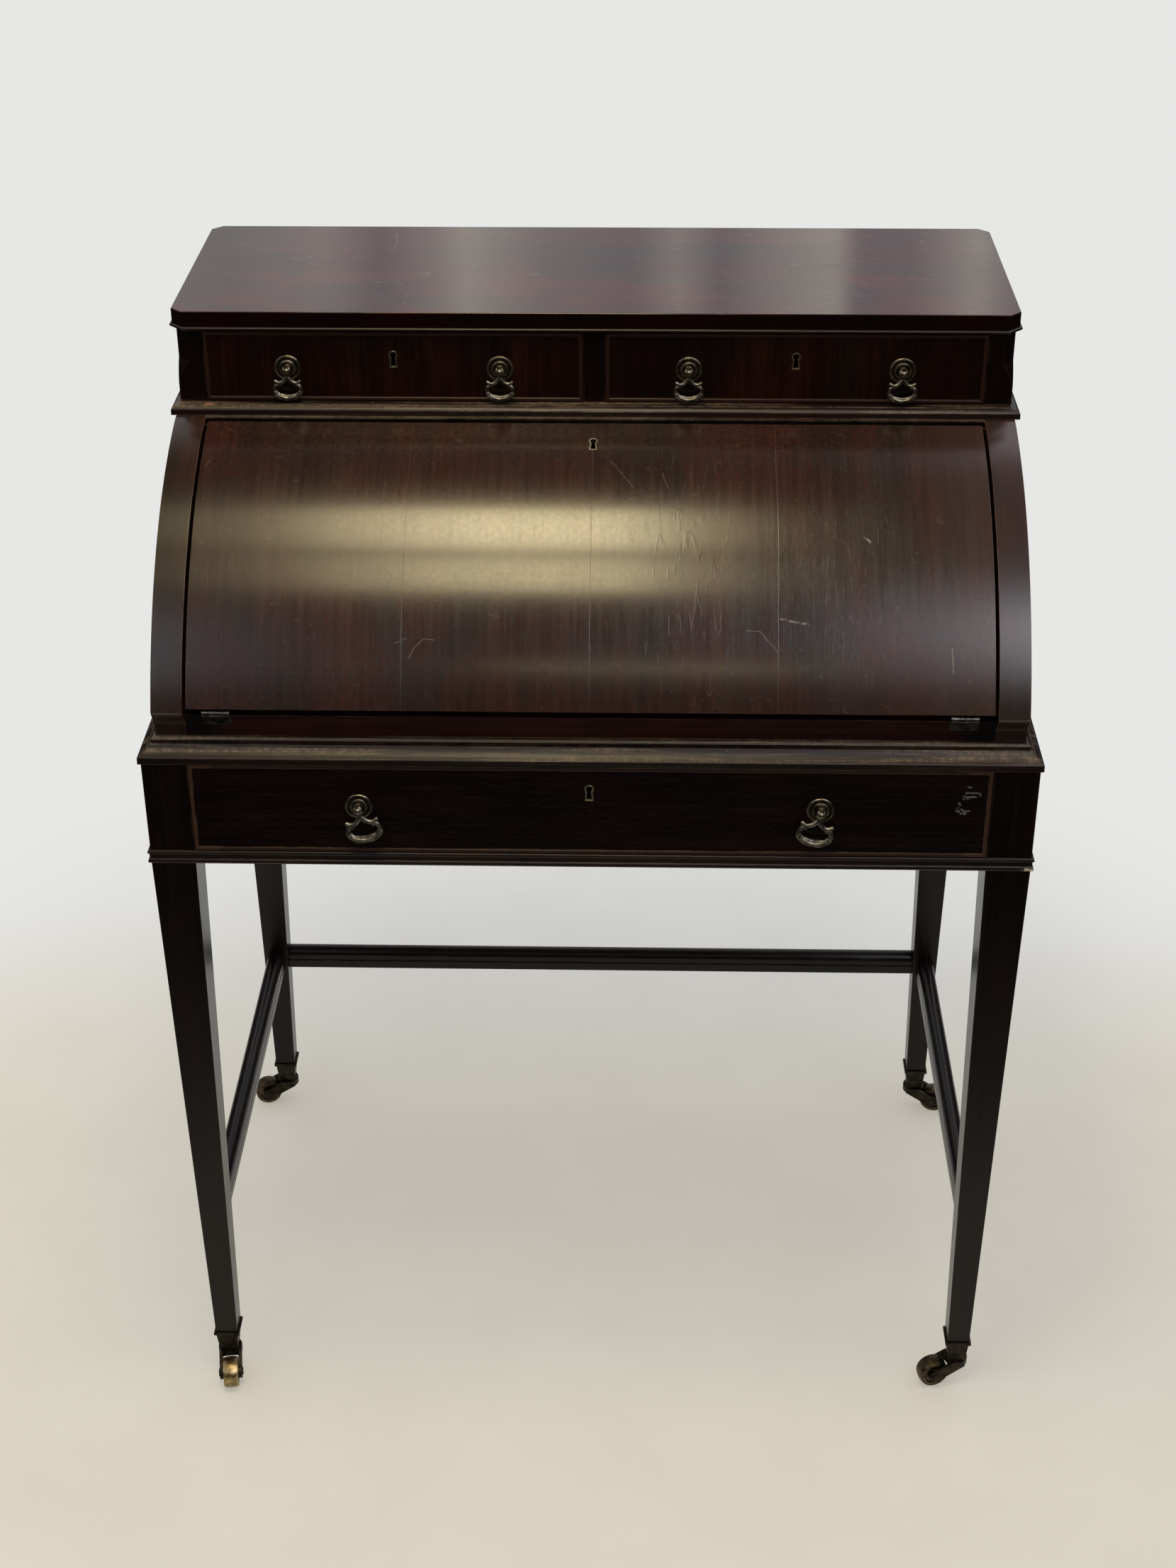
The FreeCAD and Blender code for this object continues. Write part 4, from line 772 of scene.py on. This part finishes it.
dark_brass = brass("antique_brass", dull=(0.105, 0.095, 0.073), bright=(0.31, 0.28, 0.22),
                   rough=0.44, wear=0.35)
fitting_brass = brass("fitting_brass", dull=(0.13, 0.11, 0.078), bright=(0.44, 0.375, 0.265),
                      rough=0.38, wear=0.6, key_tone=(0.52, 0.45, 0.31), sunk_shade_mask=sunk_behind_drawer,
                      groove_shade_mask=rosette_groove_shade)
lock_brass = brass("lock_brass", dull=(0.30, 0.26, 0.18), bright=(0.62, 0.54, 0.38),
                   rough=0.40, wear=0.5, sunk_shade_mask=sunk_behind_fall)
hinge_brass = brass("hinge_brass", dull=(0.055, 0.052, 0.046), bright=(0.30, 0.285, 0.25),
                    rough=0.36, wear=0.9)
castor_brass = brass("castor_brass", dull=(0.016, 0.013, 0.010), bright=(0.050, 0.040, 0.028),
                     rough=0.50, wear=0.6)
brown_wheel_brass = brass("brown_wheel_brass", dull=(0.030, 0.023, 0.015), bright=(0.12, 0.09, 0.05),
                          rough=0.42, wear=0.6)
bright_wheel_brass = brass("bright_wheel_brass", dull=(0.16, 0.115, 0.050), bright=(0.46, 0.345, 0.165),
                           rough=0.38, wear=0.8)

# Leather: two blind-tooled lines run round it, by how far each lies from its edge, and half their width
tooled_insets = (0.011, 0.015)
tooled_half = 0.0006
tooled_core = 0.5
tooled_strength, tooled_tone = 0.7, (0.018, 0.008, 0.006)
tooled_depth = 1.5
# Its pebble, and its tones from dark to rubbed
pebble_scale = 620.0
pebble_shade_span = (0.0, 0.10, 0.55, 0.0)
pebble_tone = (0.025, 0.010, 0.007)
pebble_height_span = (0.0, 0.25)
LEATHER_RUB = {"scale": 13.0, "detail": 5.0, "rough": 0.6}
leather_stops = [(0.30, (0.045, 0.018, 0.012)), (0.52, (0.085, 0.036, 0.022)), (0.75, (0.14, 0.068, 0.042))]
leather_rub_roughness, leather_roughness = 0.2, 0.38
leather_bump = 0.00016


def leather():
    """Worn brown writing leather: fine pebble, rubbed paler in clouds, with a blind-tooled double line."""
    s = Shader("writing_leather")
    place = s.place()
    low, high = (Vector(corner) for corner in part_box("fall_leather"))
    slope = Vector((0.0, high.y - low.y, high.z - low.z))
    side = s.minus(high.x, s.size(s.axes(place)[0]))
    along = s.vector("DOT_PRODUCT", s.vector("SUBTRACT", place, low), slope.normalized(), "Value")
    inset = s.least(side, s.least(along, s.minus(slope.length, along)))
    tooled = s.most(*[s.fading(s.size(s.minus(inset, line)), tooled_core * tooled_half, tooled_half)
                      for line in tooled_insets])
    pebble = s.cells(place, pebble_scale)
    rubbed = s.noise(place, **LEATHER_RUB)
    colour = s.mix(s.span(pebble, *pebble_shade_span), s.ramp(rubbed, leather_stops), opaque(pebble_tone))
    colour = s.mix(s.times(tooled, tooled_strength), colour, opaque(tooled_tone))
    shine = s.plus(s.times(rubbed, leather_rub_roughness), leather_roughness)
    height = s.minus(s.span(pebble, *pebble_height_span), s.times(tooled, tooled_depth))
    return s.surface(colour, shine, height, leather_bump, ior=1.42)


FINISH = {
    "top_board": polished_top, "sub_top": worn_and_highlit_bead, "waist_board": waist_wood, "table_top": moulding,
    "upper_uprights": upright_wood, "cheek_left": cheek_wood, "cheek_right": cheek_wood,
    "hinge_rail": red_wood, "fall_front": fall_wood, "fall_ends": inside_wood, "fall_board": inside_wood,
    "writing_bed": inside_wood, "fall_leather": leather(), "base_rails": rail_wood, "base_bead": bead_wood,
    "stretchers": rail_wood, "drawer_runners": lining_wood, "back_panel": lining_wood,
    "pigeonholes": lining_wood, "left_drawer_front": small_front, "right_drawer_front": small_front,
    "long_drawer_front": long_front, "left_drawer_box": lining_wood, "right_drawer_box": lining_wood,
    "long_drawer_box": lining_wood, "castor_cups": castor_brass, "fall_lock": lock_brass,
    "castor_wheel_front_left": bright_wheel_brass, "hinge_leaves": hinge_brass,
    "fall_hinge_leaves": hinge_brass, "left_drawer_fittings": fitting_brass,
    "right_drawer_fittings": fitting_brass, "long_drawer_fittings": fitting_brass,
}


def finish_for(node):
    if node in FINISH:
        return FINISH[node]
    if node.startswith("leg_"):
        return leg_wood
    if node.startswith("castor_fork"):
        return castor_brass
    if node.startswith("castor_wheel"):
        return brown_wheel_brass
    return dark_brass


for name, node in nodes.items():
    node.data.materials.clear()
    node.data.materials.append(finish_for(name))

# Bails: swan-neck arms with turned-up horns, and a kidney loop carved with leaves.
# Bars by x and z as shares of the bail's width and drop, and by radii in millimetres
ARM = [(0.0, 0.22, 2.2), (0.06, 0.29, 2.1), (0.13, 0.365, 2.0), (0.215, 0.41, 1.9), (0.30, 0.405, 1.8),
       (0.365, 0.365, 1.7), (0.40, 0.33, 1.3)]
LOOP = [(0.235, 0.515, 1.4), (0.275, 0.475, 1.7), (0.335, 0.48, 1.9), (0.385, 0.545, 2.0),
        (0.40, 0.635, 2.15), (0.38, 0.725, 2.4), (0.32, 0.80, 2.75), (0.23, 0.852, 3.1), (0.12, 0.88, 3.35),
        (0.0, 0.887, 3.35)]
NECK = [(0.0, 0.0, 1.9), (0.0, 0.12, 2.0), (0.0, 0.24, 2.1)]
loop_steps, loop_sides = 9, 36
arm_steps, neck_steps, bar_sides = 8, 6, 16
dome_share = 0.35
# Leaves of the loop: strands round it, their turn along it, their depth, their tips, and where they end
leaf_strands, leaf_turn = 3.0, 9.0
leaf_depth = 0.30
leaf_step, leaf_count, leaf_level = 0.16, 8.0, 0.6
leaf_end, leaf_fade = 0.42, 0.10
# Outline of the eye round its pin: degrees from the back over the top and the front, and radii in millimetres
EYE = [(0, 2.4), (110, 2.4), (120, 3.0), (140, 4.0), (155, 4.7), (285, 4.7), (305, 2.4), (360, 2.4)]
eye_bore, eye_half = 1.25, 2.05
eye_sides = 48
# Shares of its radius and of its half width where the eye's edges round off
eye_flat, eye_rim = 0.86, 0.7
# Width and drop in millimetres, and how stout the bars are
small_bail = (30.0, 30.0, 1.0)
large_bail = (37.0, 35.0, 1.15)


def curve_points(controls, steps):
    """Points on a smooth line through the controls; each control is (x, z, radius)."""
    line = []
    last = len(controls) - 1
    for i in range(last):
        before, a, b, after = (controls[max(0, min(last, i + k))] for k in (-1, 0, 1, 2))
        for j in range(steps):
            t = j / steps
            line.append(tuple(
                0.5 * (2 * q + (r - p) * t + (2 * p - 5 * q + 4 * r - u) * t * t
                       + (3 * q - p - 3 * r + u) * t ** 3)
                for p, q, r, u in zip(before, a, b, after)))
    line.append(controls[-1])
    return line


def tube(line, sides, relief=None):
    """Round bar along a flat line of (x, z, radius), its ends closed by domes; relief changes the radius."""
    verts, faces = [], []
    for i, (x, z, radius) in enumerate(line):
        x0, z0, _ = line[max(0, i - 1)]
        x1, z1, _ = line[min(len(line) - 1, i + 1)]
        along = Vector((x1 - x0, 0, z1 - z0)).normalized()
        out = Vector((along.z, 0, -along.x))
        for k in range(sides):
            a = 2 * math.pi * k / sides
            r = radius * (relief(i / (len(line) - 1), a) if relief else 1.0)
            verts.append(Vector((x, 0, z)) + r * (math.cos(a) * out + math.sin(a) * Vector((0, 1, 0))))
    for i in range(len(line) - 1):
        for k in range(sides):
            a, b = i * sides + k, i * sides + (k + 1) % sides
            faces.append((a, b, b + sides, a + sides))
    for ring, tip in ((0, -1), (len(line) - 1, 1)):
        near = line[1] if ring == 0 else line[-2]
        x, z, radius = line[ring]
        along = Vector((x - near[0], 0, z - near[1])).normalized()
        verts.append(Vector((x, 0, z)) + dome_share * radius * along)
        for k in range(sides):
            a, b = ring * sides + k, ring * sides + (k + 1) % sides
            faces.append((a, b, len(verts) - 1) if tip == 1 else (b, a, len(verts) - 1))
    return verts, faces


def eye_radius(angle):
    for (a, low), (b, high) in zip(EYE, EYE[1:]):
        if angle <= b:
            return low + (high - low) * (angle - a) / (b - a)


def eye_ring(sides):
    """Eye of a bail on its pin, along x, with a tongue that fills the slot of its ball."""
    verts, faces = [], []
    for k in range(sides):
        a = 2 * math.pi * k / sides
        outer = eye_radius(360.0 * k / sides)
        section = [(eye_bore, -eye_half), (outer * eye_flat, -eye_half), (outer, -eye_half * eye_rim),
                   (outer, eye_half * eye_rim), (outer * eye_flat, eye_half), (eye_bore, eye_half)]
        for r, x in section:
            verts.append(Vector((x, r * math.cos(a), r * math.sin(a))))
    count = len(section)
    for k in range(sides):
        for i in range(count):
            a, b = k * count + i, k * count + (i + 1) % count
            c, d = ((k + 1) % sides) * count + (i + 1) % count, ((k + 1) % sides) * count + i
            faces.append((a, d, c, b))
    return verts, faces


def leaf_relief(share, angle):
    """Strands of leaf along the loop, mirrored about its middle, in overlapping tips that fade out upward."""
    off = abs(share - 0.5)
    fade = max(0.0, min(1.0, (leaf_end - off) / leaf_fade))
    strand = abs(math.sin(leaf_strands * angle + leaf_turn * off))
    tip = (leaf_count * off) % 1.0
    return 1.0 + fade * (leaf_step * (tip - leaf_level) - leaf_depth * (1.0 - strand))


def make_bail(name, width, drop, stout):
    def sized(controls, side=1):
        return [(side * x * width, -z * drop, r * stout) for x, z, r in controls]

    loop = sized(LOOP, -1) + sized(LOOP)[-2::-1]
    parts = [tube(curve_points(loop, loop_steps), loop_sides, leaf_relief)]
    for side in (1, -1):
        parts.append(tube(curve_points(sized(ARM, side), arm_steps), bar_sides))
    parts.append(tube(curve_points(sized(NECK), neck_steps), bar_sides))
    parts.append(eye_ring(eye_sides))
    verts, faces = [], []
    for part_verts, part_faces in parts:
        base = len(verts)
        verts += [v * MM for v in part_verts]
        faces += [tuple(base + i for i in face) for face in part_faces]
    mesh = bpy.data.meshes.new(name)
    mesh.from_pydata(verts, [], faces)
    mesh.validate()
    for polygon in mesh.polygons:
        polygon.use_smooth = True
    piece = bpy.data.objects.new(name, mesh)
    bpy.context.scene.collection.objects.link(piece)
    mesh.materials.append(dark_brass)
    return piece


for joint in bail_joints:
    body = joint["child"]
    piece = make_bail(body + "_cast", *(large_bail if body.startswith("long") else small_bail))
    across = -Vector(joint["axis"])
    back = Vector((0, 1, 0))
    up = across.cross(back)
    piece.matrix_world = Matrix((across, back, up)).transposed().to_4x4()
    piece.matrix_world.translation = Vector(joint["pos_m"])
    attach(piece, body)
    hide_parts(body)


def seen_rays(s):
    """Masks of the rays that show the surroundings, and of those among them that a surface mirrors."""
    path = s.add("ShaderNodeLightPath").outputs
    mirrored = s.most(path["Is Glossy Ray"], path["Is Transmission Ray"])
    return s.most(path["Is Camera Ray"], mirrored), mirrored


def make_floor():
    mesh = bpy.data.meshes.new("floor")
    turns = [2 * math.pi * k / floor_corners for k in range(floor_corners)]
    verts = [(floor_reach * math.cos(a), floor_reach * math.sin(a), 0.0) for a in turns]
    mesh.from_pydata(verts, [], [tuple(range(floor_corners))])
    floor = bpy.data.objects.new("floor", mesh)
    bpy.context.scene.collection.objects.link(floor)
    s = Shader("floor_pale")
    place = s.place()
    reach = s.length(place)
    colour = s.mix(s.span(s.noise(place, **floor_weave), *weave_span), floor_colour, floor_shade)
    cloth = s.add("ShaderNodeBsdfDiffuse", {"Color": colour})
    x, y = s.axes(place)[:2]
    dark = s.most(s.span(y, *floor_front_span), s.span(s.size(x), *floor_side_span))
    seen, mirrored = seen_rays(s)
    shown = s.mix(s.span(y, *floor_back_span), near_glow, backdrop_colour)
    shown = s.mix(s.span(reach, *floor_fade_span), shown, backdrop_colour)
    shown = s.mix(s.times(dark, mirrored), shown, room_colour)
    glow = s.add("ShaderNodeEmission", {"Color": shown, "Strength": 1.0})
    far = s.times(s.span(reach, *floor_glow_span), seen)
    both = s.add("ShaderNodeMixShader", {0: far, 1: cloth.outputs[0], 2: glow.outputs[0]})
    s.feed(s.add("ShaderNodeOutputMaterial").inputs["Surface"], both.outputs[0])
    mesh.materials.append(s.material)


def make_world():
    """Pale backdrop; mirrored rays see its folds behind the object, and a dim room with windows in front."""
    world = bpy.data.worlds.new("studio")
    world.use_nodes = True
    bpy.context.scene.world = world
    s = Shader("studio", world.node_tree)
    x, y, z = s.axes(s.add("ShaderNodeTexCoord").outputs["Generated"])
    stops = []
    for turn, lit in backdrop_folds:
        tone = tuple(dark + (light - dark) * lit for dark, light in zip(fold_dark, fold_light))
        stops.append(((turn + fold_reach) / (2 * fold_reach), tone))
    across = s.add("ShaderNodeMapRange", {"Value": x, "From Min": -fold_reach, "From Max": fold_reach})
    wall = s.mix(s.span(s.size(x), *wall_side_span), s.ramp(across.outputs[0], stops), room_colour)
    right = s.times(s.span(x, *right_window_start), s.span(x, *right_window_end))
    right = s.times(right, s.times(s.span(z, *right_window_foot), s.span(z, *right_window_head)))
    left = s.times(s.span(x, *left_window_start),
                   s.within(z, left_window_low, left_window_high, left_window_soft))
    room = s.mix(right, s.mix(left, room_colour, left_window), right_window)
    around = s.mix(s.span(y, *wall_behind_span), room, wall)
    seen, mirrored = seen_rays(s)
    shown_colour = s.mix(mirrored, backdrop_colour, around)
    fill = s.add("ShaderNodeBackground", {"Color": fill_colour, "Strength": s.span(z, *fill_span)})
    shown = s.add("ShaderNodeBackground", {"Color": shown_colour, "Strength": 1.0})
    both = s.add("ShaderNodeMixShader", {0: seen, 1: fill.outputs[0], 2: shown.outputs[0]})
    s.feed(s.add("ShaderNodeOutputWorld").inputs["Surface"], both.outputs[0])


def make_lamps():
    panes = [front_lamp]
    for y, depth, light in lamp_rows:
        for low, high, share in lamp_columns:
            width = high - low
            panes.append(((low + high) / 2, y, width, depth, light * share * width * depth))
    for i, (x, y, width, depth, watts) in enumerate(panes):
        lamp = bpy.data.lights.new("pane_%d" % i, "AREA")
        lamp.shape = "RECTANGLE"
        lamp.size, lamp.size_y = width, depth
        lamp.energy = watts
        lamp.color = lamp_colour
        holder = bpy.data.objects.new("pane_%d" % i, lamp)
        holder.location = (x, y, lamp_height)
        holder.visible_camera = False
        bpy.context.scene.collection.objects.link(holder)


def make_camera():
    flat_right = Vector((math.cos(camera_yaw), math.sin(camera_yaw), 0))
    flat_ahead = Vector((-math.sin(camera_yaw), math.cos(camera_yaw), 0))
    tall = Vector((0, 0, 1))
    ahead = math.cos(camera_pitch) * flat_ahead + math.sin(camera_pitch) * tall
    up = -math.sin(camera_pitch) * flat_ahead + math.cos(camera_pitch) * tall
    right = math.cos(camera_roll) * flat_right + math.sin(camera_roll) * up
    up = -math.sin(camera_roll) * flat_right + math.cos(camera_roll) * up
    data = bpy.data.cameras.new("camera")
    data.sensor_width = sensor_side
    data.lens = camera_focal / frame_height * sensor_side
    camera = bpy.data.objects.new("camera", data)
    camera.matrix_world = Matrix((right, up, -ahead)).transposed().to_4x4()
    camera.matrix_world.translation = Vector(camera_place)
    bpy.context.scene.collection.objects.link(camera)
    bpy.context.scene.camera = camera


make_floor()
make_world()
make_lamps()
make_camera()
bpy.context.scene.view_settings.view_transform = "Standard"
